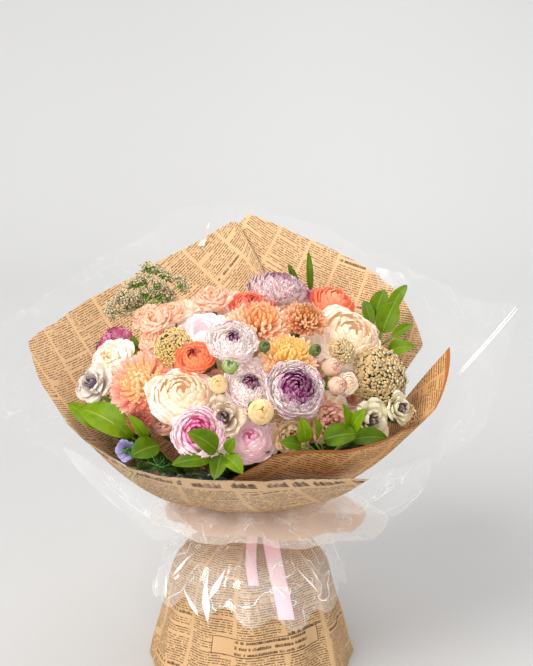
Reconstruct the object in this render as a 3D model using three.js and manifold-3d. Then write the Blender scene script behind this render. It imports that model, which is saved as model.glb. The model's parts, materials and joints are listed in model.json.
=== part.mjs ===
// A hand-tied mixed flower bouquet in printed kraft paper and clear film, standing on its flared paper
// skirt.
// Millimetres, +Z up. The Z axis runs up through the tied stems, and the surface it stands on is z = 0.
// A bearing is an angle about that axis in degrees: 0 is the right side (+X), 90 the back and 270 the
// front.
import * as THREE from 'three';
import { mergeVertices } from 'three/addons/utils/BufferGeometryUtils.js';
import Module from 'manifold-3d';

const wasm = await Module();
wasm.setup();

// Heights of the tied neck
const TIE_HEIGHT = 172;
const BAND_BOTTOM = -9;
const BAND_TOP = 9;
const FLOUNCE_START = 10.2;
const FILM_START = 11.2;

// Wall thicknesses, and the small gap between pieces that touch
const PAPER = 0.9;
const FILM = 0.8;
const SATIN = 1.0;
const LEAF = 0.9;
const PETAL_GAP = 0.3;

// Radii of the layers packed around the neck, from the stems outwards
const STEMS_RADIUS = 17;
const TWINE_RADIUS = 17.4;
const TWINE_THICK = 3.4;
const NECK_BACK_LEFT = 22.2;
const NECK_BACK_RIGHT = 23.6;
const NECK_FRONT_RIGHT = 24.9;
const NECK_FRONT_LEFT = 26.2;
const NECK_SKIRT = 27.6;
const NECK_FILM = 29.0;
const NECK_FLOUNCE = 30.4;
const NECK_BAND = 32.0;

// The mass of blooms is a dome: its middle, and its half width, half depth and height.
// Its blooms look out from it, and a little to the front.
const DOME_MIDDLE = [-8, 6, TIE_HEIGHT + 124];
const DOME_REACH = [160, 140, 132];
const FRONT_LEAN = 0.25;

// Stems
const STEM_RADIUS = 1.9;
const RECEPTACLE_RADIUS = 3;
const FUNNEL_TOP = 40;
const FUNNEL_RADIUS = 26;
const PLUG_BOTTOM = -30;
const LOWER_STEMS = 15;
const LOWER_STEM_RADIUS = 2.8;
const FOOT_RADIUS = 52;
const SPIRAL_TURN = 55;

// How fast the collar flares out of the neck: the radius grows with this power of the height
const FLARE = 0.65;
const RIGHT_FLARE = 0.57;
const COLLAR_ROWS = [0, 0.07, 0.22, 0.5, 1];
const COLLAR_STEP = 9;
const NECK_FOOT = -10;

// Collar sheets: each rim point is [bearing, distance from the axis, height above the tie, flare below it].
// The sheets lie in this order from the flowers outwards, and each outer one starts to flare a little
// lower.
const SHEETS = {
  collar_back_left: {
    neck: NECK_BACK_LEFT, start: 18, spread: 1.25,
    rim: [[82, 182, 196, FLARE], [86, 203, 231, FLARE], [95, 231, 288, FLARE], [109, 229, 259, FLARE],
      [131, 225, 228, FLARE], [160, 235, 202, FLARE], [177, 247, 196, FLARE]],
  },
  collar_back_right: {
    neck: NECK_BACK_RIGHT, start: 16.3, spread: 1.1,
    rim: [[17, 206, 178, FLARE], [25, 209, 198, FLARE], [33, 212, 217, FLARE], [41, 216, 229, FLARE],
      [48, 219, 238, FLARE], [75, 230, 270, FLARE], [91, 242, 294, FLARE], [94, 239, 282, FLARE]],
  },
  collar_front_right: {
    neck: NECK_FRONT_RIGHT, start: 14.6, spread: 1.25,
    rim: [[265, 180, 109, FLARE], [270, 176, 118, FLARE], [278, 172, 130, FLARE], [289, 170, 131, FLARE],
      [300, 173, 129, FLARE], [311, 181, 128, FLARE], [323, 191, 131, FLARE], [333, 201, 135, RIGHT_FLARE],
      [341, 210, 148, RIGHT_FLARE], [351, 217, 173, RIGHT_FLARE], [363, 222, 191, RIGHT_FLARE]],
  },
  collar_front_left: {
    neck: NECK_FRONT_LEFT, start: 13, spread: 1.25,
    rim: [[202, 213, 139, FLARE], [211, 208, 132, FLARE], [221, 203, 122, FLARE], [231, 197, 111, FLARE],
      [245, 192, 108, FLARE], [259, 189, 109, FLARE], [273, 189, 109, FLARE], [287, 189, 108, FLARE],
      [301, 193, 105, FLARE], [309, 196, 99, FLARE]],
  },
};

// Skirt: [height above the surface, radius], with soft pleats that grow towards the hem
const SKIRT_PROFILE = [[0, 118], [58, 103], [108, 80], [145, 44], [156, 28.4], [180, NECK_SKIRT]];
const PLEATS = 12;
const PLEAT_STEPS = 3;
const PLEAT_SHARE = 0.055;

// Flounce: [bearing, radius, height of the rim above the tie]
const FLOUNCE_RIM = [[0, 148, -15], [45, 132, -4], [90, 126, 2], [135, 126, 2], [180, 128, -2],
  [214, 130, 9],
  [234, 130, 11], [271, 128, 12], [309, 130, 4], [340, 140, -9], [360, 148, -15]];
const FLOUNCE_SHARES = [0, 0.12, 0.5, 1];
const FLOUNCE_WAVES = 8;
const FLOUNCE_STEPS = 24;
const FLOUNCE_WAVE_HEIGHT = 3;
const FLOUNCE_DROOP = 1.5;

// Film: its fringe hangs over the skirt, and its collar stands outside the paper
const FRINGE_PROFILE = [[86, 98], [118, 84], [140, 64], [150, 48], [160, 30],
  [TIE_HEIGHT + FILM_START, NECK_FILM]];
const FRINGE_HEM_WAVE = 9;
const FRINGE_PLEAT = 0.05;
const FILM_STEPS = 30;
const FILM_RIM = [[3, 292, 236], [20, 262, 232], [33, 246, 242], [60, 252, 264], [95, 258, 304],
  [104, 256, 304],
  [130, 252, 260], [155, 262, 226], [177, 272, 212], [190, 276, 170], [205, 272, 150], [216, 250, 134],
  [237, 224, 128], [260, 214, 127], [285, 214, 127], [304, 228, 126], [320, 246, 124], [336, 264, 146],
  [350, 280, 200], [363, 292, 236]];

// Ribbon
const RIBBON_WIDTH = 22;

const v3 = (x, y, z) => new THREE.Vector3(x, y, z);
const vector = (list) => new THREE.Vector3(...list);
const radians = THREE.MathUtils.degToRad;

// The value in column k of a list of stops, straight between them
function along(stops, x, k) {
  let n = 1;
  while (n < stops.length - 1 && stops[n][0] < x) n++;
  const [a, b] = [stops[n - 1], stops[n]];
  const share = THREE.MathUtils.clamp((x - a[0]) / (b[0] - a[0]), 0, 1);
  return a[k] + (b[k] - a[k]) * share;
}

// A point at a bearing, a radius and a height
function polar(bearing, radius, z) {
  return v3(radius * Math.cos(radians(bearing)), radius * Math.sin(radians(bearing)), z);
}

// A closed body from points and triangles, turned so that its faces point out
function closedBody(points, faces) {
  let volume = 0;
  for (const [a, b, c] of faces) volume += points[a].dot(points[b].clone().cross(points[c]));
  const turned = volume < 0 ? faces.map(([a, b, c]) => [a, c, b]) : faces;
  const geometry = new THREE.BufferGeometry();
  geometry.setAttribute('position', new THREE.Float32BufferAttribute(points.flatMap((p) => p.toArray()),
    3));
  geometry.setIndex(turned.flat());
  return geometry;
}

// A thin wall with its two faces split into triangles alike; grid[i][j] runs across and then along
function wall(grid, thickness, { closed = false, footing = false } = {}) {
  const columns = grid.length;
  const rows = grid[0].length;
  const at = (i, j) => {
    const column = closed ? (i + columns) % columns : THREE.MathUtils.clamp(i, 0, columns - 1);
    return grid[column][THREE.MathUtils.clamp(j, 0, rows - 1)];
  };
  const points = [];
  for (const side of [0.5, -0.5]) {
    for (let i = 0; i < columns; i++) {
      for (let j = 0; j < rows; j++) {
        const across = at(i + 1, j).clone().sub(at(i - 1, j));
        const normal = across.cross(at(i, j + 1).clone().sub(at(i, j - 1)));
        if (footing && j === 0) normal.z = 0;
        points.push(at(i, j).clone().addScaledVector(normal.normalize(), side * thickness));
      }
    }
  }
  const outer = (i, j) => (i % columns) * rows + j;
  const inner = (i, j) => columns * rows + outer(i, j);
  const faces = [];
  const quad = (a, b, c, d) => faces.push([a, b, c], [a, c, d]);
  const spans = closed ? columns : columns - 1;
  for (let i = 0; i < spans; i++) {
    for (let j = 0; j < rows - 1; j++) {
      quad(outer(i, j), outer(i + 1, j), outer(i + 1, j + 1), outer(i, j + 1));
      faces.push([inner(i, j), inner(i + 1, j + 1), inner(i + 1, j)]);
      faces.push([inner(i, j), inner(i, j + 1), inner(i + 1, j + 1)]);
    }
    const last = rows - 1;
    quad(outer(i, 0), inner(i, 0), inner(i + 1, 0), outer(i + 1, 0));
    quad(outer(i + 1, last), inner(i + 1, last), inner(i, last), outer(i, last));
  }
  if (!closed) {
    for (let j = 0; j < rows - 1; j++) {
      const last = columns - 1;
      quad(outer(0, j), outer(0, j + 1), inner(0, j + 1), inner(0, j));
      quad(inner(last, j), inner(last, j + 1), outer(last, j + 1), outer(last, j));
    }
  }
  return closedBody(points, faces);
}

// A closed body through rings of points, ended by a point at either end
function ringBody(rings, first, last) {
  const sides = rings[0].length;
  const points = [...rings.flat(), first, last];
  const at = (k, i) => k * sides + (i % sides);
  const end = rings.length - 1;
  const faces = [];
  for (let i = 0; i < sides; i++) {
    faces.push([points.length - 2, at(0, i), at(0, i + 1)]);
    for (let k = 0; k < end; k++) {
      faces.push([at(k, i), at(k + 1, i), at(k + 1, i + 1)], [at(k, i), at(k + 1, i + 1), at(k, i + 1)]);
    }
    faces.push([points.length - 1, at(end, i + 1), at(end, i)]);
  }
  return closedBody(points, faces);
}

// A tapered stalk along points, with flat ends square to it, or square to the first direction if there is
// one
function stalk(points, radii, sides, first = null) {
  const turn = new THREE.Quaternion();
  let previous = v3(0, 0, 1);
  const rings = points.map((point, k) => {
    const before = points[Math.max(k - 1, 0)];
    const after = points[Math.min(k + 1, points.length - 1)];
    const run = k === 0 && first ? first : after.clone().sub(before).normalize();
    turn.premultiply(new THREE.Quaternion().setFromUnitVectors(previous, run));
    previous = run;
    return Array.from({ length: sides }, (_, i) => {
      const around = polar((360 * i) / sides, radii[k], 0);
      return around.applyQuaternion(turn).add(point);
    });
  });
  return ringBody(rings, points[0].clone(), points.at(-1).clone());
}

// A leaf on its stalk: it leaves the fork as a narrow stalk, widens past its base and ends in a point
const STALK_HALF = 1.1;
const LEAF_STATIONS = [[0.34, 1], [0.7, 0.82], [1, 0.05]];
const LEAF_ARCH = 0.09;
const LEAF_CUP = 0.16;
function leafBody(fork, base, tip, width, face) {
  const run = tip.clone().sub(base);
  const across = face.clone().cross(run).normalize();
  const up = run.clone().cross(across).normalize();
  const line = [[fork, STALK_HALF, 0], [base, STALK_HALF, 0]];
  for (const [t, share] of LEAF_STATIONS) {
    const arch = LEAF_ARCH * run.length() * Math.sin(Math.PI * t);
    const centre = base.clone().addScaledVector(run, t).addScaledVector(up, arch);
    line.push([centre, share * width * 0.5, LEAF_CUP * share * width]);
  }
  const grid = [-1, 0, 1].map((side) => line.map(([centre, half, cup]) => centre.clone()
    .addScaledVector(across, side * half).addScaledVector(up, Math.abs(side) * cup)));
  return wall(grid, LEAF);
}

function solidOf(geometry) {
  const bare = geometry.clone();
  bare.deleteAttribute('normal');
  bare.deleteAttribute('uv');
  const merged = mergeVertices(bare);
  return new wasm.Manifold(new wasm.Mesh({
    numProp: 3,
    vertProperties: Float32Array.from(merged.attributes.position.array),
    triVerts: Uint32Array.from(merged.index.array),
  }));
}

// Several geometries that hold together, joined in one body
function fused(geometries) {
  const whole = geometries.map(solidOf).reduce((a, b) => a.add(b));
  const mesh = whole.getMesh();
  const geometry = new THREE.BufferGeometry();
  geometry.setAttribute('position', new THREE.BufferAttribute(mesh.vertProperties, 3));
  geometry.setIndex(new THREE.BufferAttribute(mesh.triVerts, 1));
  return geometry;
}

// Bloom forms in units of the bloom's radius. A ring is [radius, height, swing of its radius, swing of its
// height]:
// every second point of a ring swings out as a petal's tip, and a negative swing shifts a layer by half a
// petal.
const FORMS = {
  ranunculus: {
    sides: 10, top: 0.34, base: -0.6,
    rings: [[0.16, 0.42, 0, 0], [0.42, 0.44, 0.04, 0.05], [0.48, 0.24, 0.04, 0], [0.7, 0.34, -0.05, -0.06],
      [0.76, 0.08, -0.05, 0], [0.95, 0.14, 0.05, 0.08], [0.66, -0.34, 0, 0], [0.14, -0.6, 0, 0]],
  },
  rose: {
    sides: 10, top: 0.5, base: -0.66,
    rings: [[0.2, 0.54, 0.02, 0.02], [0.48, 0.5, 0.04, 0.05], [0.54, 0.3, 0.04, 0],
      [0.76, 0.34, -0.05, -0.06],
      [0.81, 0.06, -0.05, 0], [0.96, 0.02, 0.04, 0.08], [0.66, -0.42, 0, 0], [0.14, -0.66, 0, 0]],
  },
  mum: {
    sides: 12, top: 0.5, base: -0.56,
    rings: [[0.2, 0.55, 0.04, 0.02], [0.44, 0.5, -0.07, -0.03], [0.5, 0.28, -0.05, 0],
      [0.7, 0.34, 0.08, 0.03],
      [0.76, 0.06, 0.06, 0], [0.92, 0.06, -0.08, -0.04], [0.64, -0.32, 0, 0], [0.14, -0.56, 0, 0]],
  },
  open: {
    sides: 10, top: 0.2, base: -0.46,
    rings: [[0.2, 0.16, 0, 0], [0.26, 0.02, 0, 0], [0.92, 0.32, 0.08, 0.08], [0.87, 0.18, 0.08, 0.06],
      [0.45, -0.14, 0, 0], [0.14, -0.46, 0, 0]],
  },
  ruffled: {
    sides: 10, top: 0.4, base: -0.56,
    rings: [[0.2, 0.46, 0.03, 0.06], [0.52, 0.44, -0.07, -0.08], [0.58, 0.2, -0.06, 0],
      [0.9, 0.18, 0.08, 0.12],
      [0.58, -0.3, 0, 0], [0.14, -0.56, 0, 0]],
  },
  blossom: {
    sides: 8, top: 0.42, base: -0.56,
    rings: [[0.22, 0.46, 0.03, 0.04], [0.56, 0.4, -0.07, -0.06], [0.62, 0.16, -0.05, 0],
      [0.92, 0.14, 0.07, 0.1],
      [0.14, -0.56, 0, 0]],
  },
  cluster: {
    sides: 10, top: 0.5, base: -0.5,
    rings: [[0.24, 0.44, 0.02, 0.06], [0.5, 0.38, -0.02, -0.06], [0.76, 0.22, 0.02, 0.07],
      [0.95, 0.0, -0.04, -0.06],
      [0.6, -0.3, 0, 0], [0.14, -0.5, 0, 0]],
  },
  bud: {
    sides: 8, top: 0.9, base: -0.9,
    rings: [[0.3, 0.84, 0.03, 0], [0.78, 0.42, -0.05, 0], [0.96, -0.1, 0.03, 0], [0.66, -0.64, 0, 0],
      [0.24, -0.9, 0, 0]],
  },
};

function formBody(form, radius) {
  const rings = form.rings.map(([r, z, swing, lift]) => Array.from({ length: form.sides }, (_, i) => {
    const sign = i % 2 ? -1 : 1;
    return polar((360 * i) / form.sides, radius * (r + swing * sign), radius * (z + lift * sign));
  }));
  return ringBody(rings, v3(0, 0, radius * form.top), v3(0, 0, radius * form.base));
}

// Single blooms: [name, form, place, radius, colour]
const BLOOMS = [
  ['ranunculus_picotee_top', 'ranunculus', [32, 38, 427], 33, 0xd9b7cf],
  ['ranunculus_picotee_mid', 'ranunculus', [-16, -86, 398], 31, 0xeddbe3],
  ['ranunculus_picotee_big', 'ranunculus', [52, -116, 354], 35, 0xe5cfdd],
  ['ranunculus_picotee_low', 'ranunculus', [-2, -112, 362], 26, 0xe2c5d2],
  ['ranunculus_pink', 'ranunculus', [-56, -136, 310], 29, 0xe79ac0],
  ['ranunculus_pink_half_open', 'rose', [6, -136, 307], 26, 0xf0b6cb],
  ['ranunculus_cream_bud', 'bud', [10, -142, 338], 15, 0xead0a4],
  ['ranunculus_green_bud', 'bud', [-22, -128, 380], 10, 0x9dbb5a],
  ['ranunculus_blush_bud', 'bud', [-32, -126, 364], 12, 0xecd0ac],
  ['garden_rose_cream_left', 'rose', [-72, -112, 352], 35, 0xf4dfc8],
  ['garden_rose_cream_right', 'rose', [109, -14, 385], 38, 0xf6e6da],
  ['ranunculus_coral_right', 'ranunculus', [92, 30, 406], 27, 0xf08f75],
  ['ranunculus_coral_back', 'ranunculus', [4, 2, 414], 24, 0xee6f52],
  ['chrysanthemum_peach', 'mum', [12, -50, 410], 31, 0xf0b48e],
  ['chrysanthemum_bronze', 'mum', [60, -36, 406], 26, 0xd0906a],
  ['chrysanthemum_yellow', 'mum', [45, -80, 388], 28, 0xf3c186],
  ['chrysanthemum_salmon', 'mum', [-122, -76, 352], 35, 0xe79f8b],
  ['chrysanthemum_small', 'ruffled', [-116, -102, 318], 13, 0xcf8272],
  ['ranunculus_orange', 'ranunculus', [-59, -90, 386], 25, 0xf0714c],
  ['ranunculus_blush_white', 'ranunculus', [-50, -48, 404], 30, 0xf1dbe2],
  ['carnation_peach', 'ruffled', [-42, -4, 420], 22, 0xf0c4ac],
  ['carnation_magenta_left', 'ruffled', [-142, 10, 372], 22, 0xb0387a],
  ['carnation_magenta_back', 'ruffled', [70, 62, 408], 18, 0x97255f],
  ['lisianthus_cream_left', 'ruffled', [-146, -28, 362], 24, 0xf0e0ca],
  ['anemone_white_left', 'open', [-160, -52, 342], 21, 0xeee9ea],
  ['anemone_lilac', 'open', [-128, -122, 290], 12, 0xa99ac2],
  ['anemone_grey', 'open', [-24, -138, 334], 24, 0xb9a3a6],
  ['rice_flower_right', 'cluster', [140, -36, 345], 35, 0xd8cda8],
  ['rice_flower_inner', 'cluster', [98, -58, 378], 14, 0xcfc49c],
  ['rice_flower_low', 'cluster', [166, -62, 300], 11, 0xd3c79f],
  ['rice_flower_yellow', 'cluster', [-88, -58, 390], 17, 0xdcb45e],
  ['anemone_white_right', 'open', [128, -92, 312], 19, 0xece3dc],
  ['alstroemeria_cream', 'open', [156, -70, 318], 14, 0xe6dfb8],
  ['lisianthus_dusty', 'ruffled', [84, -112, 326], 23, 0xd7aa9c],
  ['lisianthus_beige', 'ruffled', [38, -130, 316], 19, 0xd9bd9c],
];

// Branches that carry several blooms: where the branch forks, and each bloom's form, place and radius
const BRANCHES = {
  stock_peach: {
    fork: [-94, -12, 346], colour: 0xf2bfae,
    heads: [['blossom', [-114, -4, 402], 17], ['blossom', [-100, -32, 402], 18],
      ['blossom', [-86, -10, 412], 16]],
  },
  spray_rose_blush: {
    fork: [80, -64, 336], colour: 0xf0c6b4,
    heads: [['bud', [86, -84, 370], 12], ['bud', [88, -104, 352], 12], ['blossom', [106, -84, 352], 15]],
  },
  scabiosa_pods: {
    fork: [20, -44, 352], colour: 0x77804f,
    heads: [['bud', [18, -84, 410], 7], ['bud', [72, -70, 398], 8]],
  },
  spray_rose_back: {
    fork: [-60, 52, 330], colour: 0xf5e2d2,
    heads: [['blossom', [-76, 40, 390], 31], ['blossom', [-34, 66, 398], 30],
      ['blossom', [-104, 84, 348], 31],
      ['blossom', [-40, 112, 350], 30]],
  },
  spray_chrysanthemum_back: {
    fork: [56, 62, 330], colour: 0xedb58f,
    heads: [['blossom', [20, 94, 386], 30], ['blossom', [72, 92, 366], 30], ['blossom', [112, 62, 360], 27],
      ['blossom', [18, 120, 338], 28]],
  },
  lisianthus_spray_inner: {
    fork: [0, -56, 306], colour: 0xeac9b8,
    heads: [['blossom', [24, -100, 334], 19], ['blossom', [-34, -92, 348], 18],
      ['blossom', [64, -92, 332], 18],
      ['blossom', [-92, -94, 316], 17]],
  },
};

const domeMiddle = vector(DOME_MIDDLE);

// The direction a bloom looks in: away from the dome, and a little to the front
function outward(place) {
  const out = place.clone().sub(domeMiddle).divide(vector(DOME_REACH)).divide(vector(DOME_REACH)).normalize();
  out.y -= FRONT_LEAN;
  return out.normalize();
}

function makeBloom(name, form, place, radius, colour) {
  return { name, form: FORMS[form], radius, colour, place: vector(place), out: outward(vector(place)) };
}

const blooms = BLOOMS.map((row) => makeBloom(...row));
const branches = Object.entries(BRANCHES).map(([name, { fork, colour, heads }]) => ({
  name,
  colour,
  fork: vector(fork),
  heads: heads.map(([form, place, radius]) => makeBloom(name, form, place, radius, colour)),
}));

// Balls that fill a bloom: one at its heart, a ring under its petals' tips and a lower ring under those
function fillBalls({ place, out, radius, form }) {
  if (form === FORMS.bud) return [{ centre: place, radius }];
  const turn = new THREE.Quaternion().setFromUnitVectors(v3(0, 0, 1), out);
  const balls = [{ centre: place.clone().addScaledVector(out, -0.06 * radius), radius: 0.5 * radius }];
  for (const [count, ring, height, size] of [[12, 0.7, 0, 0.3], [7, 0.5, -0.22, 0.24]]) {
    for (let i = 0; i < count; i++) {
      const centre = polar((360 * i) / count, ring * radius,
        height * radius).applyQuaternion(turn).add(place);
      balls.push({ centre, radius: size * radius });
    }
  }
  return balls;
}

// How far, and which way, bloom a is pressed off bloom b
function pressure(ballsA, ballsB) {
  let deepest = 0;
  let push = null;
  for (const p of ballsA) {
    for (const q of ballsB) {
      const apart = p.centre.clone().sub(q.centre);
      const depth = p.radius + q.radius + 1 - apart.length();
      if (depth > deepest) {
        deepest = depth;
        push = apart.setLength(depth / 2);
      }
    }
  }
  return push;
}

// Blooms in a tight bunch press each other apart until they only touch; blooms of one branch may join
const PRESS_ROUNDS = 120;
function pressApart(list) {
  for (let round = 0; round < PRESS_ROUNDS; round++) {
    const balls = list.map(fillBalls);
    for (let a = 0; a < list.length; a++) {
      for (let b = a + 1; b < list.length; b++) {
        const push = list[a].name === list[b].name ? null : pressure(balls[a], balls[b]);
        if (push) {
          list[a].place.add(push);
          list[b].place.sub(push);
        }
      }
    }
  }
}
pressApart([...blooms, ...branches.flatMap((branch) => branch.heads)]);

const group = new THREE.Group();

function addMesh(name, geometry, color, roughness, extra = {}) {
  const material = new THREE.MeshStandardMaterial({ color, roughness, metalness: 0, ...extra });
  const mesh = new THREE.Mesh(geometry, material);
  mesh.name = name;
  group.add(mesh);
  return mesh;
}

const PETAL_ROUGHNESS = 0.6;
for (const bloom of blooms) {
  const mesh = addMesh(bloom.name, formBody(bloom.form, bloom.radius), bloom.colour, PETAL_ROUGHNESS);
  mesh.position.copy(bloom.place);
  mesh.quaternion.setFromUnitVectors(v3(0, 0, 1), bloom.out);
}

// Where a stem meets the underside of a bloom
function seatOf(bloom) {
  return bloom.place.clone().addScaledVector(bloom.out, bloom.form.base * bloom.radius);
}

// The end of a branch below its fork, and the way it runs
const STUB_RADIUS = 2.6;
const STUB_BELOW = 7;
function forkStub(fork) {
  const up = fork.clone().sub(v3(0, 0, TIE_HEIGHT)).normalize();
  const foot = fork.clone().addScaledVector(up, -STUB_BELOW);
  return { up, foot, body: stalk([foot, fork.clone().addScaledVector(up, 3)], [STUB_RADIUS, STUB_RADIUS],
    5) };
}

const forks = [];
const obstacles = [];

// Balls along a line, which the stems keep off
function lineUp(name, from, to, radius) {
  for (let k = 0; k <= 5; k++) obstacles.push({ name, centre: from.clone().lerp(to, k / 5), radius });
}

for (const bloom of [...blooms, ...branches.flatMap((branch) => branch.heads)]) {
  for (const ball of fillBalls(bloom)) obstacles.push({ name: bloom.name, ...ball });
}

for (const branch of branches) {
  const stub = forkStub(branch.fork);
  forks.push({ ...stub, name: branch.name });
  const pieces = [stub.body];
  for (const head of branch.heads) {
    const turn = new THREE.Quaternion().setFromUnitVectors(v3(0, 0, 1), head.out);
    pieces.push(formBody(head.form, head.radius).applyQuaternion(turn).translate(...head.place.toArray()));
    const seat = seatOf(head);
    const inside = seat.clone().addScaledVector(head.out, 0.2 * head.radius);
    pieces.push(stalk([inside, seat.clone().addScaledVector(head.out, -4), branch.fork], [1.4, 1.6, 1.6],
      3));
    lineUp(branch.name, seat, branch.fork, 3.8);
  }
  addMesh(branch.name, fused(pieces), branch.colour, PETAL_ROUGHNESS);
}

// Leafy sprays: a fork that the branch ends in, and its leaves as [base, tip, width, direction its face
// looks]
const TO_FRONT = [0, -0.7, 0.7];
const TO_RIGHT = [0.5, -0.6, 0.6];
const TO_LEFT = [-0.5, -0.6, 0.6];
const TO_BACK = [0, 0.5, 0.8];
const SPRAYS = {
  ruscus_left: {
    fork: [-112, -86, 276],
    leaves: [[[-124, -104, 298], [-183, -68, 320], 32, [-0.1, -0.6, 0.8]],
      [[-122, -112, 300], [-140, -118, 322], 13, TO_LEFT],
      [[-152, -76, 298], [-197, -52, 318], 19, TO_LEFT],
        [[-94, -130, 298], [-122, -144, 292], 25, TO_FRONT],
      [[-106, -124, 302], [-124, -126, 330], 12, TO_FRONT]],
  },
  ruscus_front: {
    fork: [-28, -142, 280],
    leaves: [[[-32, -168, 306], [-60, -180, 331], 23, TO_FRONT],
      [[-36, -168, 298], [-78, -174, 294], 18, TO_FRONT],
      [[-28, -166, 300], [-34, -190, 284], 17, TO_FRONT], [[-24, -166, 300], [-6, -186, 289], 17, TO_FRONT],
      [[-22, -166, 304], [-14, -168, 320], 12, TO_FRONT]],
  },
  ruscus_low_right: {
    fork: [78, -118, 276],
    leaves: [[[58, -142, 306], [54, -154, 336], 16, TO_FRONT],
      [[68, -140, 306], [68, -152, 336], 11, TO_RIGHT],
      [[76, -138, 307], [112, -134, 313], 25, TO_FRONT], [[54, -148, 303], [32, -158, 312], 15, TO_FRONT],
      [[100, -122, 306], [98, -132, 344], 14, TO_RIGHT], [[104, -120, 308], [119, -130, 338], 17, TO_FRONT],
      [[106, -118, 300], [146, -106, 298], 20, TO_FRONT]],
  },
  ruscus_high_right: {
    fork: [136, 40, 344],
    leaves: [[[136, 44, 376], [130, 76, 400], 13, TO_FRONT], [[140, 60, 380], [153, 86, 410], 20, TO_FRONT],
      [[154, 62, 384], [180, 96, 414], 14, TO_FRONT], [[148, 40, 370], [164, 56, 404], 25, TO_FRONT],
      [[158, 30, 368], [184, 46, 380], 11, TO_FRONT], [[152, 8, 358], [180, -4, 368], 20, TO_FRONT]],
  },
  ruscus_back: {
    fork: [64, 134, 366],
    leaves: [[[70, 142, 392], [68, 160, 438], 12, TO_FRONT], [[56, 142, 390], [44, 152, 424], 9, TO_FRONT],
      [[48, 148, 368], [14, 170, 378], 20, TO_BACK], [[92, 136, 364], [118, 144, 374], 18, TO_BACK]],
  },
  ruscus_back_left: {
    fork: [-122, 80, 310],
    leaves: [[[-138, 94, 328], [-146, 116, 350], 20, TO_BACK],
      [[-146, 76, 328], [-178, 78, 350], 20, TO_BACK],
      [[-122, 104, 322], [-108, 132, 340], 18, TO_BACK]],
  },
};
const LEAF_COLOUR = 0x5f9a20;
for (const [name, spray] of Object.entries(SPRAYS)) {
  const fork = vector(spray.fork);
  const stub = forkStub(fork);
  forks.push({ ...stub, name });
  const leaves = spray.leaves.map(([base, tip, width, face]) => {
    lineUp(name, fork, vector(base), 1.5);
    lineUp(name, vector(base), vector(tip), 0.3 * width);
    return leafBody(fork, vector(base), vector(tip), width, vector(face));
  });
  addMesh(name, fused([stub.body, ...leaves]), LEAF_COLOUR, 0.4);
}

// Feathery spray: needles all round a slim twig
const FEATHERS = {
  needle_green_front: { from: [-84, -122, 264], to: [-94, -150, 284], needles: 6, length: 7 },
};
const NEEDLE_TURN = 137.5;
const NEEDLE_FIRST = 0.3;
for (const [name, feather] of Object.entries(FEATHERS)) {
  const from = vector(feather.from);
  const run = vector(feather.to).sub(from);
  const up = run.clone().normalize();
  const turn = new THREE.Quaternion().setFromUnitVectors(v3(0, 0, 1), up);
  const pieces = [stalk([from, from.clone().add(run)], [1.4, 1], 4)];
  for (let i = 0; i < feather.needles; i++) {
    const start = from.clone().addScaledVector(run,
      NEEDLE_FIRST + ((0.95 - NEEDLE_FIRST) * i) / feather.needles);
    const lean = polar(NEEDLE_TURN * i, feather.length, feather.length * 0.7).applyQuaternion(turn);
    pieces.push(stalk([start, start.clone().add(lean)], [0.7, 0.4], 3));
  }
  addMesh(name, fused(pieces), 0x3f7a2c, 0.5);
  forks.push({ up, foot: from, name });
  lineUp(name, from, from.clone().add(run), feather.length * 0.5);
}

// Open spray of small greenish-white flowers at the back left: branches that fork and end in florets
const OPEN_SPRAY = {
  foot: [-120, 34, 368],
  fork: [-122, 48, 392],
  tips: [[-132, 68, 424], [-114, 80, 438], [-96, 78, 430], [-148, 56, 412], [-158, 38, 396],
    [-136, 44, 412],
    [-76, 68, 422], [-104, 58, 426]],
};
const FLORET_RADIUS = 7;
const sprayFoot = vector(OPEN_SPRAY.foot);
const sprayFork = vector(OPEN_SPRAY.fork);
const sprayPieces = [stalk([sprayFoot, sprayFork], [2, 1.8], 4)];
for (const tip of OPEN_SPRAY.tips) {
  sprayPieces.push(stalk([sprayFork, vector(tip)], [1.3, 0.9], 3));
  sprayPieces.push(new THREE.OctahedronGeometry(FLORET_RADIUS, 0).scale(1, 1, 0.7).translate(...tip));
}
addMesh('open_spray_green', fused(sprayPieces), 0xb9c08c, 0.7);
forks.push({ up: sprayFork.clone().sub(sprayFoot).normalize(), foot: sprayFoot, name: 'open_spray_green' });
lineUp('open_spray_green', sprayFoot, sprayFork, 2);

// Stems: one from every bloom and branch down to the neck, packed there, spiralling out again below it.
// Each bends a little to pass by the other blooms, leaves and branches.
const SAMPLES = 14;
const BENDS = [0.16, 0.08, 0.26];
const SWERVES = [[0, 0], [6, 0], [-6, 0], [0, 6], [0, -6], [12, 0], [-12, 0], [0, 12], [0, -12], [18, 0],
  [-18, 0],
  [0, 18], [0, -18]];
function clearance(line, own) {
  let least = Infinity;
  for (let n = 1; n < line.length; n++) {
    for (let k = 0; k < SAMPLES; k++) {
      const point = line[n - 1].clone().lerp(line[n], k / SAMPLES);
      for (const { name, centre, radius } of obstacles) {
        if (name !== own) least = Math.min(least, point.distanceTo(centre) - radius - STEM_RADIUS);
      }
    }
  }
  return least;
}

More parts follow.
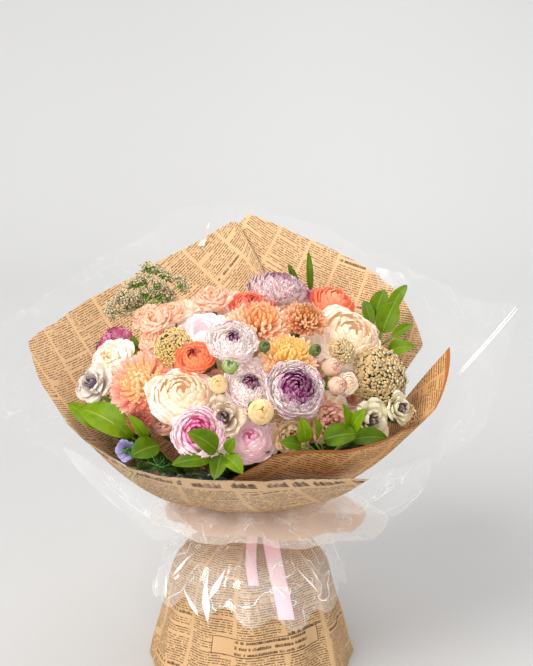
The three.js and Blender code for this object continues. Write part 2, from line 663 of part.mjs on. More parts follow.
function stemTo(seat, out, own) {
  const end = seat.clone().addScaledVector(out, -PETAL_GAP);
  const bearing = THREE.MathUtils.radToDeg(Math.atan2(end.y, end.x));
  const share = Math.min(Math.hypot(end.x, end.y) / DOME_REACH[0], 1);
  const foot = polar(bearing, 4 + 16 * share, TIE_HEIGHT + FUNNEL_TOP - 10);
  const turn = new THREE.Quaternion().setFromUnitVectors(v3(0, 0, 1), out);
  let best = null;
  for (const bend of BENDS) {
    for (const [x, y] of SWERVES) {
      const by = v3(x, y, -bend * end.distanceTo(foot)).applyQuaternion(turn);
      const line = [end, end.clone().add(by), foot];
      const room = Math.min(clearance(line, own), 2.5);
      if (!best || room > best.room) best = { room, line };
    }
  }
  return stalk(best.line, [RECEPTACLE_RADIUS, STEM_RADIUS, STEM_RADIUS], 3, out.clone().negate());
}

const LOWER_SIDES = 4;
function lowerStem(bearing, neckRadius, footRadius) {
  const neck = polar(bearing, neckRadius, TIE_HEIGHT + PLUG_BOTTOM + 4);
  const foot = polar(bearing + SPIRAL_TURN, footRadius, 0);
  const rings = [neck, foot].map((centre) => Array.from({ length: LOWER_SIDES }, (_, i) =>
    polar((360 * i) / LOWER_SIDES, LOWER_STEM_RADIUS, 0).add(centre)));
  return ringBody(rings, neck, foot);
}

// Packed stems at the neck, widening into a funnel above the tie
const packProfile = [[0, PLUG_BOTTOM], [STEMS_RADIUS, PLUG_BOTTOM], [STEMS_RADIUS, 12],
  [FUNNEL_RADIUS, FUNNEL_TOP],
  [0, FUNNEL_TOP]].map(([r, z]) => new THREE.Vector2(r, z));
const pack = new THREE.LatheGeometry(packProfile, 12).rotateX(Math.PI / 2).translate(0, 0, TIE_HEIGHT);
const stems = [pack];
for (const bloom of blooms) stems.push(stemTo(seatOf(bloom), bloom.out, bloom.name));
for (const { foot, up, name } of forks) stems.push(stemTo(foot, up, name));
for (let i = 0; i < LOWER_STEMS; i++) {
  const outerRow = i % 3 !== 0;
  const bearing = (360 * i) / LOWER_STEMS;
  stems.push(outerRow ? lowerStem(bearing, 12.5, FOOT_RADIUS) : lowerStem(bearing, 5, FOOT_RADIUS * 0.5));
}
addMesh('stem_bundle', fused(stems), 0x6f8f3a, 0.6);

// Twine wound three times round the stems
const twineProfile = [[0, -6], [TWINE_THICK, -4], [TWINE_THICK - 1, -2], [TWINE_THICK, 0],
  [TWINE_THICK - 1, 2],
  [TWINE_THICK, 4], [0, 6], [0, -6]].map(([r, z]) => new THREE.Vector2(TWINE_RADIUS + r, z));
const twine = new THREE.LatheGeometry(twineProfile, 12).rotateX(Math.PI / 2).translate(0, 0, TIE_HEIGHT);
addMesh('twine', twine, 0xb59a6a, 0.9);

// Collar sheets
function collarSheet({ neck, start, spread, rim }) {
  const bearings = [];
  for (let n = 1; n < rim.length; n++) {
    const [from, to] = [rim[n - 1][0], rim[n][0]];
    const parts = Math.ceil((to - from) / COLLAR_STEP);
    for (let k = 0; k < parts; k++) bearings.push(from + ((to - from) * k) / parts);
  }
  bearings.push(rim.at(-1)[0]);
  const middle = (rim[0][0] + rim.at(-1)[0]) / 2;
  const grid = bearings.map((bearing) => {
    const [reach, rise, flare] = [1, 2, 3].map((k) => along(rim, bearing, k));
    const atNeck = middle + (bearing - middle) * spread;
    const column = COLLAR_ROWS.map((share) => polar(atNeck + (bearing - atNeck) * share,
      neck + (reach - neck) * share ** flare, TIE_HEIGHT + start + (rise - start) * share));
    return [polar(atNeck, neck, TIE_HEIGHT + NECK_FOOT), ...column];
  });
  return wall(grid, PAPER);
}
const KRAFT = 0xc9a26c;
for (const [name, sheet] of Object.entries(SHEETS)) addMesh(name, collarSheet(sheet), KRAFT, 0.85);

// Skirt
const skirtSteps = PLEATS * PLEAT_STEPS;
const skirtGrid = Array.from({ length: skirtSteps }, (_, i) => {
  const bearing = (360 * i) / skirtSteps;
  return SKIRT_PROFILE.map(([z, radius]) => {
    const pleat = PLEAT_SHARE * Math.cos(radians(bearing * PLEATS)) * (radius - NECK_SKIRT);
    return polar(bearing, radius + pleat, z);
  });
});
addMesh('paper_skirt', wall(skirtGrid, PAPER, { closed: true, footing: true }), KRAFT, 0.85);

// Flounce
const flounceGrid = Array.from({ length: FLOUNCE_STEPS }, (_, i) => {
  const bearing = (360 * i) / FLOUNCE_STEPS;
  const [reach, rise] = [along(FLOUNCE_RIM, bearing, 1), along(FLOUNCE_RIM, bearing, 2)];
  const column = FLOUNCE_SHARES.map((share) => {
    const wave = FLOUNCE_WAVE_HEIGHT * share * Math.cos(radians(bearing * FLOUNCE_WAVES));
    const z = FLOUNCE_START + (rise - FLOUNCE_START) * share ** FLOUNCE_DROOP + wave;
    return polar(bearing, NECK_FLOUNCE + (reach - NECK_FLOUNCE) * share, TIE_HEIGHT + z);
  });
  return [polar(bearing, NECK_FLOUNCE, TIE_HEIGHT + 4), ...column];
});
addMesh('paper_flounce', wall(flounceGrid, PAPER, { closed: true }), 0xd9b48c, 0.8);

// Film
const filmGrid = Array.from({ length: FILM_STEPS }, (_, i) => {
  const bearing = 3 + (360 * i) / FILM_STEPS;
  const turned = bearing > 363 ? bearing - 360 : bearing;
  const [reach, rise] = [along(FILM_RIM, turned, 1), along(FILM_RIM, turned, 2)];
  const fringe = FRINGE_PROFILE.map(([z, radius], k) => {
    const wave = Math.cos(radians(bearing * PLEATS));
    const hem = k ? 0 : FRINGE_HEM_WAVE * Math.cos(radians(bearing * 3));
    return polar(bearing, radius + FRINGE_PLEAT * wave * (radius - NECK_FILM), z + hem);
  });
  const collar = COLLAR_ROWS.slice(1).map((share) => polar(bearing,
    NECK_FILM + (reach - NECK_FILM) * share ** FLARE,
    TIE_HEIGHT + FILM_START + (rise - FILM_START) * share));
  return [...fringe, ...collar];
});
addMesh('clear_film', wall(filmGrid, FILM, { closed: true }), 0xf4f6f6, 0.1,
  { transparent: true, opacity: 0.3 });

// Ribbon: a band round the neck, a knot in front, a loop, and two tails that fall over the skirt
const bandGrid = Array.from({ length: 20 },
  (_, i) => [BAND_BOTTOM, BAND_TOP].map((z) => polar(18 * i, NECK_BAND,
  TIE_HEIGHT + z)));
function ribbonStrip(path, width = RIBBON_WIDTH, across = v3(1, 0, 0)) {
  const grid = [-0.5, 0.5].map((side) => path.map((point) => vector(point).addScaledVector(across,
    side * width)));
  return wall(grid, SATIN);
}
const KNOT = v3(12, -35, TIE_HEIGHT - 1);
const ribbon = [
  wall(bandGrid, SATIN, { closed: true }),
  new THREE.BoxGeometry(18, 7, 15).translate(KNOT.x, KNOT.y, KNOT.z),
  ribbonStrip([[18, -37, 170], [22, -48, 160], [27, -70, 140], [34, -100, 108], [40, -112, 84],
    [44, -116, 56]]),
  ribbonStrip([[6, -37, 170], [2, -48, 160], [0, -72, 140], [2, -100, 108], [6, -108, 90]],
    RIBBON_WIDTH * 0.6),
  ribbonStrip([[14, -38, 170], [20, -46, 173], [32, -52, 171], [44, -54, 165], [34, -48, 162],
    [20, -40, 164]],
    RIBBON_WIDTH * 0.6, v3(0.3, -0.2, 0.93)),
];
addMesh('ribbon', fused(ribbon), 0xe9b7bb, 0.35);

// Stand the bouquet over the middle of its own outline
const outline = new THREE.Box3().setFromObject(group);
const middle = outline.getCenter(v3(0, 0, 0)).setZ(0);
for (const mesh of group.children) mesh.position.sub(middle);

export default group;
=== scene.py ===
"""A hand-tied mixed bouquet in printed kraft paper and clear film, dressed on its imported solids."""

import json
import logging
import math
from dataclasses import dataclass, field
from enum import Enum, auto
from typing import Sequence

import bpy
import numpy as np
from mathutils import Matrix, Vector

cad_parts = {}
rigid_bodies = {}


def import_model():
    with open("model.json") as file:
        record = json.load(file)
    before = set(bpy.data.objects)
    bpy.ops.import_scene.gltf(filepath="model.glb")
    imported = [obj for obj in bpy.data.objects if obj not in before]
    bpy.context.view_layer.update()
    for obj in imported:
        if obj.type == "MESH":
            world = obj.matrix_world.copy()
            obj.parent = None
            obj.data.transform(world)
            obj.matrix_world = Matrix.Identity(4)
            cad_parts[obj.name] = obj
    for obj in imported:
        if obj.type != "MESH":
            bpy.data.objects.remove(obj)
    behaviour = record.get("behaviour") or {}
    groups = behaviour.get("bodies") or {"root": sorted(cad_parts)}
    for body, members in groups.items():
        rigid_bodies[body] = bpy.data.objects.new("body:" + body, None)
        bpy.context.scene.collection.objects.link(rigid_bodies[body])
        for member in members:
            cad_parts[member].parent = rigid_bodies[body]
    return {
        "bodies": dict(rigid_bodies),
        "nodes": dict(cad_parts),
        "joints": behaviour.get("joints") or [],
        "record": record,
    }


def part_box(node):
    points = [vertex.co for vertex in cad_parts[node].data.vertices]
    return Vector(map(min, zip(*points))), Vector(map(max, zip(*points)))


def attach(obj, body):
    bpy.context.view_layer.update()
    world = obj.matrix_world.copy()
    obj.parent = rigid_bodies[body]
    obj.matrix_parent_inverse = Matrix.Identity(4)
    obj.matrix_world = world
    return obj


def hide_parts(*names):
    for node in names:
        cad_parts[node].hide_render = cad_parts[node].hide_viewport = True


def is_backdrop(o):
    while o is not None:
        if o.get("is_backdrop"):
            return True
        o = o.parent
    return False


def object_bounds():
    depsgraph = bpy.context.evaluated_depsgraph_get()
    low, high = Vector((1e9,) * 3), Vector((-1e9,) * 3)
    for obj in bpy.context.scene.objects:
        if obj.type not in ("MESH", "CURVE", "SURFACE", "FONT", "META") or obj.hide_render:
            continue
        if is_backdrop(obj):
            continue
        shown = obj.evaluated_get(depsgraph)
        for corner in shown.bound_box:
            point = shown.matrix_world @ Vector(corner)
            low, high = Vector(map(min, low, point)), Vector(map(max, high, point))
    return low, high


log = logging.getLogger("bouquet")

Array = np.ndarray
Floats = Sequence[float]
Material = bpy.types.Material

MM = 0.001
# The turn between one floret and the next on a head, in radians and in degrees
GOLDEN_TURN = 2.39996
GOLDEN_DEGREES = 137.5
# Sizes in mm, about the tie's axis; the dome is the body of blooms above the tie
TIE_HEIGHT = 172.0
DOME_MIDDLE = np.array([-8.0, 6.0, TIE_HEIGHT + 124.0])
DOME_REACH = np.array([160.0, 140.0, 132.0])
FRONT_LEAN = 0.25
# How fast a sheet opens above the tie: a lower power is fuller
FLARE = 0.65
RIGHT_FLARE = 0.57
FULL = 0.5
PAPER_WALL = 0.7


# Shader maths


class Wire:
    """One output socket of a shader node, on which arithmetic adds nodes."""

    def __init__(self, board: "Board", socket: bpy.types.NodeSocket) -> None:
        """Keeps the board and the socket."""
        self.board = board
        self.socket = socket

    def __add__(self, other: object) -> "Wire":
        """Sum."""
        return self.board.maths("ADD", self, other)

    __radd__ = __add__

    def __sub__(self, other: object) -> "Wire":
        """Difference."""
        return self.board.maths("SUBTRACT", self, other)

    def __rsub__(self, other: object) -> "Wire":
        """Difference from a number."""
        return self.board.maths("SUBTRACT", other, self)

    def __mul__(self, other: object) -> "Wire":
        """Product."""
        return self.board.maths("MULTIPLY", self, other)

    __rmul__ = __mul__

    def __truediv__(self, other: object) -> "Wire":
        """Quotient."""
        return self.board.maths("DIVIDE", self, other)

    def __pow__(self, other: object) -> "Wire":
        """Power."""
        return self.board.maths("POWER", self, other)

    def __gt__(self, other: object) -> "Wire":
        """1 where this is greater, else 0."""
        return self.board.maths("GREATER_THAN", self, other)

    def __lt__(self, other: object) -> "Wire":
        """1 where this is less, else 0."""
        return self.board.maths("LESS_THAN", self, other)

    def one(self, operation: str) -> "Wire":
        """A maths operation on this value alone, such as ABSOLUTE or FRACT."""
        return self.board.maths(operation, self)


class Board:
    """The node tree of one material, and the ways to add nodes to it."""

    def __init__(self, name: str) -> None:
        """Makes an empty material.

        Args:
            name: The material's name.
        """
        self.material = bpy.data.materials.new(name)
        self.material.use_nodes = True
        self.tree = self.material.node_tree
        self.tree.nodes.clear()
        self.output = self.tree.nodes.new("ShaderNodeOutputMaterial")

    def node(self, kind: str, settings: dict | None = None, inputs: dict | None = None,
             out: int | str = 0) -> Wire:
        """Adds a node.

        Args:
            kind: The node's type.
            settings: Its settings, which are set first.
            inputs: Values or wires for its sockets, by name or number.
            out: The output that is returned.

        Returns:
            The wire of that output.
        """
        node = self.tree.nodes.new(kind)
        for key, value in (settings or {}).items():
            if key == "stops":
                ramp = node.color_ramp
                while len(ramp.elements) < len(value):
                    ramp.elements.new(1.0)
                for element, (place, colour) in zip(ramp.elements, value):
                    element.position = place
                    element.color = (*colour, 1.0)
            else:
                setattr(node, key, value)
        for key, value in (inputs or {}).items():
            if isinstance(value, Wire):
                self.tree.links.new(value.socket, node.inputs[key])
            else:
                node.inputs[key].default_value = value
        return Wire(self, node.outputs[out])

    def maths(self, operation: str, *values: object, clamp: bool = False) -> Wire:
        """A Math node on numbers and wires."""
        settings = {"operation": operation, "use_clamp": clamp}
        return self.node("ShaderNodeMath", settings, dict(enumerate(values)))

    def clamp(self, value: Wire) -> Wire:
        """The value held between 0 and 1."""
        return self.maths("ADD", value, 0.0, clamp=True)

    def step(self, value: Wire, low: float, high: float) -> Wire:
        """A smooth step from 0 at low to 1 at high."""
        return self.node("ShaderNodeMapRange", {"interpolation_type": "SMOOTHSTEP"},
                         {0: value, 1: low, 2: high, 3: 0.0, 4: 1.0})

    def mix(self, factor: object, first: object, second: object) -> Wire:
        """A colour between two colours.

        Args:
            factor: The second colour's share.
            first: The first colour.
            second: The second one.

        Returns:
            The colour.
        """
        node = self.tree.nodes.new("ShaderNodeMix")
        node.data_type = "RGBA"
        for index, value in ((0, factor), (6, first), (7, second)):
            if isinstance(value, Wire):
                self.tree.links.new(value.socket, node.inputs[index])
            else:
                node.inputs[index].default_value = (*value, 1.0) if index else value
        return Wire(self, node.outputs[2])

    def shade(self, colour: Wire, factor: Wire) -> Wire:
        """A colour made lighter or darker by a factor."""
        return self.node("ShaderNodeVectorMath", {"operation": "SCALE"}, {0: colour, "Scale": factor})

    def uv(self, layer: str) -> tuple[Wire, Wire]:
        """The two coordinates of a UV map.

        Args:
            layer: The map's name.

        Returns:
            The two coordinates.
        """
        place = self.node("ShaderNodeUVMap", {"uv_map": layer})
        split = self.tree.nodes.new("ShaderNodeSeparateXYZ")
        self.tree.links.new(place.socket, split.inputs[0])
        return Wire(self, split.outputs[0]), Wire(self, split.outputs[1])

    def vector(self, x: object, y: object, z: object = 0.0) -> Wire:
        """A vector of three values."""
        return self.node("ShaderNodeCombineXYZ", {}, {0: x, 1: y, 2: z})

    def attribute(self, name: str) -> Wire:
        """A number kept on the mesh's points."""
        return self.node("ShaderNodeAttribute", {"attribute_name": name}, {}, "Fac")

    def objects(self) -> Wire:
        """The place in the object's own frame, in metres."""
        return self.node("ShaderNodeTexCoord", {}, {}, "Object")

    def noise(self, place: Wire, scale: float, detail: float = 2.0, rough: float = 0.5) -> Wire:
        """Smooth noise between 0 and 1."""
        return self.node("ShaderNodeTexNoise", {}, {"Vector": place, "Scale": scale, "Detail": detail,
                                                    "Roughness": rough}, 0)

    def hash(self, place: Wire) -> Wire:
        """A random number for each whole place."""
        return self.node("ShaderNodeTexWhiteNoise", {"noise_dimensions": "3D"}, {"Vector": place}, 0)

    def bump(self, height: Wire, strength: float, distance: float) -> Wire:
        """A normal bumped by a height."""
        return self.node("ShaderNodeBump", {}, {"Height": height, "Strength": strength, "Distance": distance})

    def finish(self, colour: object, roughness: object, normal: Wire | None = None, alpha: object = None,
               **constants: float) -> Material:
        """Ends the material in one principled shader.

        Args:
            colour: The base colour, a wire or three numbers.
            roughness: The roughness, a wire or a number.
            normal: A bumped normal.
            alpha: The opacity, where the surface is clear.
            **constants: Other sockets' constants, with underscores for spaces.

        Returns:
            The material.
        """
        base = colour if isinstance(colour, Wire) else (*colour, 1.0)
        inputs = {"Base Color": base, "Roughness": roughness}
        if normal is not None:
            inputs["Normal"] = normal
        if alpha is not None:
            inputs["Alpha"] = alpha
        for key, value in constants.items():
            inputs[key.replace("_", " ")] = value
        shader = self.node("ShaderNodeBsdfPrincipled", {}, inputs)
        self.tree.links.new(shader.socket, self.output.inputs[0])
        return self.material


def rgb(code: int) -> tuple[float, float, float]:
    """A linear colour from a hexadecimal one."""
    channels = [((code >> shift) & 255) / 255 for shift in (16, 8, 0)]
    return tuple(c / 12.92 if c <= 0.04045 else ((c + 0.055) / 1.055) ** 2.4 for c in channels)


# Finishes


@dataclass(frozen=True)
class PetalFinish:
    """Colours of a bloom's petals, from its heart to its rim."""

    name: str
    body: int
    base: int
    edge: int
    heart: int
    edge_share: float = 0.5
    edge_from: float = 0.72
    heart_size: float = 0.2
    # painted light: how strongly the petals give off their own colour, lifting the shade between them
    painted_glow: float = 0.1
    streak: float = 0.16
    speckle: float = 0.0
    speckle_colour: int = 0x8A2A6A

    def material(self) -> Material:
        """The petals' material, along each petal and from the inner to the outer ones.

        Returns:
            The material.
        """
        board = Board(self.name)
        across, along = board.uv("petal")
        tone, luck = board.attribute("tone"), board.attribute("luck")
        side = (across * 2.0 - 1.0).one("ABSOLUTE")
        rim = board.maths("MAXIMUM", along, side ** 3.0 * 0.9)
        fine = board.noise(board.vector(across * 26.0 + luck * 31.0, along * 2.5, luck * 17.0), 1.0, 3.0)
        soft = board.noise(board.vector(across * 3.0, along * 3.0, luck * 9.0), 1.0, 2.0)
        colour = board.mix(board.step(along, 0.05, 0.7), rgb(self.base), rgb(self.body))
        rim_mask = board.clamp(board.step(rim + (fine - 0.5) * 0.3, self.edge_from, 1.0) * self.edge_share)
        colour = board.mix(rim_mask, colour, rgb(self.edge))
        heart = 1.0 - board.step(tone + (soft - 0.5) * 0.2, self.heart_size * 0.55, self.heart_size + 0.14)
        flecks = board.noise(board.vector(across * 13.0 + luck * 11.0, along * 4.0, luck * 29.0), 1.0, 1.0)
        heart = heart * (1.0 - board.step(rim, 0.76, 0.96) * board.step(flecks, 0.52, 0.6) * 0.6)
        colour = board.mix(heart * 0.98, colour, rgb(self.heart))
        if self.speckle:
            spots = board.noise(board.vector(across * 27.0 + luck * 40.0, along * 6.0, luck * 23.0), 1.0, 2.0)
            first = 1.06 - self.speckle * 0.22
            specks = board.step(rim * 0.46 + spots, first, first + 0.06)
            colour = board.mix(specks * 0.92, colour, rgb(self.speckle_colour))
        light = 1.0 + (fine - 0.5) * self.streak * 1.4 + (luck - 0.5) * 0.09 + (soft - 0.5) * 0.08
        colour = board.shade(colour, light)
        # The emission is painted light: it lifts the shade between the petals.
        return board.finish(
            colour, 0.55 + (fine - 0.5) * 0.2, board.bump(fine, 0.4, 0.0007), Emission_Color=colour,
            Emission_Strength=self.painted_glow, Sheen_Weight=0.04, Subsurface_Weight=0.3, Subsurface_Scale=0.0028,
            Subsurface_Radius=(1.0, 0.82, 0.7), Specular_IOR_Level=0.2)


@dataclass(frozen=True)
class LeafFinish:
    """A leaf's greens, with a pale midrib and fine side veins."""

    name: str
    green: int
    pale: int
    gloss: float = 0.34

    def material(self) -> Material:
        """The leaves' material.

        Returns:
            The material.
        """
        board = Board(self.name)
        across, along = board.uv("petal")
        luck = board.attribute("luck")
        side = (across * 2.0 - 1.0).one("ABSOLUTE")
        midrib = 1.0 - board.step(side, 0.02, 0.11)
        ribs = ((along * 11.0 - side * 2.6).one("FRACT") - 0.5).one("ABSOLUTE")
        veins = board.step(ribs, 0.42, 0.5)
        fields = board.noise(board.objects(), 90.0, 3.0)
        colour = board.mix(board.clamp(fields * 0.9 - 0.1 + luck * 0.35), rgb(self.green), rgb(self.pale))
        colour = board.mix(board.clamp(midrib * 0.4 + veins * 0.1), colour, rgb(0xA3BE48))
        light = 0.58 + luck * 0.42 + side * 0.08
        height = fields * 0.5 - midrib * 0.8 - veins * 0.35
        return board.finish(board.shade(colour, light), self.gloss + (fields - 0.5) * 0.2,
                            board.bump(height, 0.4, 0.0009), Specular_IOR_Level=0.14, Subsurface_Weight=0.06,
                            Subsurface_Scale=0.003)


@dataclass(frozen=True)
class StemFinish:
    """Fresh stems, twigs or twine: a mottled colour with fine lines along them."""

    name: str
    dark: int
    light: int
    scale: float = 240.0
    rough: float = 0.55

    def material(self) -> Material:
        """The stems' material.

        Returns:
            The material.
        """
        board = Board(self.name)
        place = board.objects()
        spots = board.noise(place, self.scale, 4.0, 0.6)
        broad = board.noise(place, self.scale * 0.12, 2.0)
        colour = board.mix(board.clamp(spots * 0.8 + broad * 0.9 - 0.4), rgb(self.dark), rgb(self.light))
        return board.finish(colour, self.rough + (spots - 0.5) * 0.2, board.bump(spots, 0.4, 0.0007))


@dataclass(frozen=True)
class BeadFinish:
    """Small clustered florets: pale sides, a warm dot on top, and painted shade on their lower part."""

    name: str
    pale: int
    dot: int
    # the colour of the painted shade low on each floret
    shade: int

    def material(self) -> Material:
        """The florets' material.

        Returns:
            The material.
        """
        board = Board(self.name)
        _, height = board.uv("petal")
        luck = board.attribute("luck")
        # Painted shade: the lower part of each floret takes the shade colour.
        colour = board.mix(board.step(height, 0.2, 0.62), rgb(self.shade), rgb(self.pale))
        colour = board.mix(board.step(height, 0.66, 0.84) * 0.85, colour, rgb(self.dot))
        grain = board.noise(board.objects(), 900.0, 2.0)
        return board.finish(board.shade(colour, 0.78 + luck * 0.35 + (grain - 0.5) * 0.2), 0.62,
                            board.bump(grain, 0.3, 0.0004))


@dataclass(frozen=True)
class PaperFinish:
    """Kraft paper, with greeked newsprint or bare."""

    name: str
    kraft: int
    ink: int = 0x4A2E1A
    printed: float = 0.9
    row: float = 2.75
    column: float = 50.0
    block: float = 61.0
    rough: float = 0.78
    edge: int = 0
    title: bool = False
    box: tuple[float, float, float, float] | None = None
    # painted light: how strongly the paper gives off its own colour
    painted_glow: float = 0.0

    def bars(self, board: Board, x: Wire, y: Wire, pitch: float, width: float) -> Wire:
        """Rows of word bars.

        Args:
            board: The board that the nodes go on.
            x: Millimetres along the rows.
            y: Millimetres across them.
            pitch: The rows' pitch.
            width: The width of a letter group.

        Returns:
            1 in the bars and 0 between them.
        """
        row, band = (y / pitch).one("FLOOR"), (y / pitch).one("FRACT")
        word = board.hash(board.vector((x / width + row * 3.37).one("FLOOR"), row)) > 0.2
        stroke = 0.5 + board.hash(board.vector((x / width * 2.6).one("FLOOR"), row, 2.0)) * 0.8
        tall = 0.58 + board.hash(board.vector((x / width * 1.7).one("FLOOR"), row, 9.0)) * 0.24
        return word * stroke * (band > 0.24) * (band < tall)

    def inside(self, board: Board, x: Wire, y: Wire, corners: Floats) -> Wire:
        """1 inside a rectangle and 0 outside it."""
        return (x > corners[0]) * (x < corners[1]) * (y > corners[2]) * (y < corners[3])

    def print_mask(self, board: Board) -> Wire:
        """Where the print is: columns of rows of word bars, with a short heading now and then.

        Args:
            board: The board that the nodes go on.

        Returns:
            1 in the ink and 0 between it.
        """
        x, y = board.uv("sheet")
        tone = board.attribute("tone")
        column, share = (x / self.column).one("FLOOR"), (x / self.column).one("FRACT")
        block = y / self.block + board.hash(board.vector(column, 3.0)) * 0.8
        block_row, block_share = block.one("FLOOR"), block.one("FRACT")
        row = (y / self.row).one("FLOOR")
        lines = self.bars(board, x, y, self.row, 1.3)
        lines = lines * (1.0 - (share > board.hash(board.vector(row, column, 7.0)) * 4.5 + 0.3))
        heading = (board.hash(board.vector(column, block_row, 5.0)) > 0.6) * (block_share < 0.11)
        bar = self.bars(board, x, block_share * self.block, 6.7, 2.2)
        body = lines * (1.0 - heading) + heading * bar
        mask = body * (share > 0.04) * (share < 0.95) * (block_share < 0.975)
        if self.title:
            band = (tone > 0.81) * (tone < 0.985)
            words = self.bars(board, x, (tone - 0.82) * 150.0, 25.0, 4.4) * (tone > 0.82) * (tone < 0.98)
            mask = mask * (1.0 - band) + words
        if self.box:
            left, right, low, high = self.box
            outer = self.inside(board, x, y, (left, right, low, high))
            inner = self.inside(board, x, y, (left + 0.9, right - 0.9, low + 0.9, high - 0.9))
            text = self.bars(board, x, y - low, (high - low) / 3.0, 1.8)
            text = text * self.inside(board, x, y, (left + 24, right - 16, low + 2, high - 2))
            mask = mask * (1.0 - outer) + (outer - inner) + text
        return board.clamp(mask)

    def material(self) -> Material:
        """The paper's material.

        Returns:
            The material.
        """
        board = Board(self.name)
        place = board.objects()
        fibre = board.noise(board.node("ShaderNodeMapping", {}, {"Vector": place, "Scale": (1.0, 1.0, 3.0)}),
                            420.0, 4.0, 0.65)
        cloud = board.noise(place, 14.0, 3.0)
        pale = board.mix(0.4, rgb(self.kraft), rgb(0xF4DAB0))
        colour = board.mix(board.clamp(cloud), rgb(self.kraft), board.shade(pale, 1.0 + (fibre - 0.5) * 0.2))
        if self.printed:
            wear = 0.78 + board.noise(place, 160.0, 2.0) * 0.4
            ink = board.clamp(self.print_mask(board) * wear * self.printed)
            colour = board.mix(ink, colour, rgb(self.ink))
        # The darker band at the sheet's rim is partly its turned-over edge and partly painted shade.
        if self.edge:
            turned = board.step(board.attribute("tone") + (cloud - 0.5) * 0.03, 0.955, 0.97)
            colour = board.mix(turned * 0.85, colour, rgb(self.edge))
        relief = board.bump(fibre + cloud * 2.0, 0.3, 0.0006)
        # The emission is painted light that lifts the paper out of shade.
        return board.finish(colour, self.rough + (fibre - 0.5) * 0.14, relief, Emission_Color=colour,
                            Emission_Strength=self.painted_glow, Specular_IOR_Level=0.3)


@dataclass(frozen=True)
class FilmFinish:
    """Clear film: see-through, shiny, and milky along its creases."""

    name: str
    clear: float = 0.03
    milk: float = 0.02
    crease: float = 0.25
    tint: tuple[float, float, float] = (0.95, 0.96, 0.97)
    metal: float = 0.25
    rough: float = 0.26
    # painted light: how strongly the film gives off its tint, so it does not turn dark
    painted_glow: float = 0.1

    def material(self) -> Material:
        """The film's material.

        Returns:
            The material.
        """
        board = Board(self.name)
        x, y = board.uv("sheet")
        crush = board.attribute("tone")
        place = board.vector(x * 0.016, y * 0.016, 0.0)
        warp = board.noise(place, 1.4, 2.0)
        folds = board.noise(board.vector(x * 0.014 + warp * 1.2, y * 0.007 + warp, 1.0), 2.0, 2.0)
        ridge = board.step(1.0 - ((folds - 0.5) * 2.0).one("ABSOLUTE"), 0.985, 1.0)
        milky = board.step(board.noise(place, 2.2, 2.0), 0.45, 0.8)
        cover = self.clear + milky * self.milk * 2.0 + ridge * crush * self.crease
        # The shine's emission is painted light that keeps the film from going dark.
        shine = board.node("ShaderNodeBsdfPrincipled", {}, {
            "Base Color": (*self.tint, 1.0), "Metallic": self.metal, "Roughness": self.rough + milky * 0.1,
            "Normal": board.bump(folds, 0.3, 0.003),
            "Emission Color": (*self.tint, 1.0), "Emission Strength": self.painted_glow})
        clear = board.node("ShaderNodeBsdfTransparent", {}, {})
        both = board.node("ShaderNodeMixShader", {}, {0: board.clamp(cover), 1: clear, 2: shine})
        board.tree.links.new(both.socket, board.output.inputs[0])
        return board.material


@dataclass(frozen=True)
class SatinFinish:
    """Satin ribbon: fine threads across it, and a soft sheen."""

    name: str
    colour: int

    def material(self) -> Material:
        """The ribbon's material.

        Returns:
            The material.
        """
        board = Board(self.name)
        x, y = board.uv("sheet")
        thread = board.noise(board.vector(x * 0.4, y * 9.0), 1.0, 2.0)
        edge = board.step(board.attribute("tone"), 0.86, 0.95)
        colour = board.mix(board.clamp(thread), rgb(self.colour), rgb(0xF6D7D8))
        colour = board.mix(edge * 0.35, colour, rgb(0xC98C92))
        return board.finish(colour, 0.36 + thread * 0.16, board.bump(thread, 0.3, 0.0003), Sheen_Weight=0.3)


@dataclass(frozen=True)
class StudioFinish:
    """The pale floor and backdrop."""

    name: str
    grey: float
    floor: float

    def material(self) -> Material:
        """The backdrop's material, darker on the floor where more light falls.

        Returns:
            The material.
        """
        board = Board(self.name)
        split = board.tree.nodes.new("ShaderNodeSeparateXYZ")
        board.tree.links.new(board.objects().socket, split.inputs[0])
        depth, side = Wire(board, split.outputs[1]), Wire(board, split.outputs[0])
        cloud = board.noise(board.objects(), 1.3, 2.0)
        tone = (self.floor + board.step(depth, 0.3, 2.6) * (self.grey - self.floor)) * (0.98 + cloud * 0.04)
        # Painted light: the backdrop is darker on the left and lighter towards the right, where the bouquet's
        # shadow falls.
        tone = tone * (0.96 + board.step(side, -0.45, 0.45) * 0.06)
        return board.finish(board.vector(tone, tone, tone * 1.002), 0.92)


# Meshes


def stacked(*parts: object) -> Array:
    """Arrays stretched to one shape and joined on a new last axis."""
    return np.stack(np.broadcast_arrays(*parts), -1)


def unit_of(vector: Array) -> Array:
    """A vector made one long."""
    return vector / np.linalg.norm(vector)


def run_along(points: Array) -> Array:
    """The distance run from the first row of points to each."""
    return np.linalg.norm(np.diff(points, axis=0, prepend=points[:1]), axis=-1).cumsum(0)


def spiral(count: int, reach: float) -> tuple[Array, Array]:
    """Even directions over a cap, a half sphere at reach 1, as angles from the upright and round it."""
    share = (np.arange(count) + 0.5) / count
    return np.arccos(1 - share * reach), np.arange(count) * GOLDEN_TURN


def ray(polar: object, azimuth: object) -> Array:
    """Unit vectors at those angles from the upright and round it."""
    return stacked(np.sin(polar) * np.cos(azimuth), np.sin(polar) * np.sin(azimuth), np.cos(polar))


def grid_normals(points: Array) -> Array:
    """Unit normals of grids of points.

    Args:
        points: The grids, whose last axes are along, across and xyz.

    Returns:
        The normals.
    """
    along = np.gradient(points, axis=-3)
    across = np.gradient(points, axis=-2)
    normal = np.cross(across, along)
    size = np.linalg.norm(normal, axis=-1, keepdims=True)
    return normal / np.maximum(size, 1e-9)


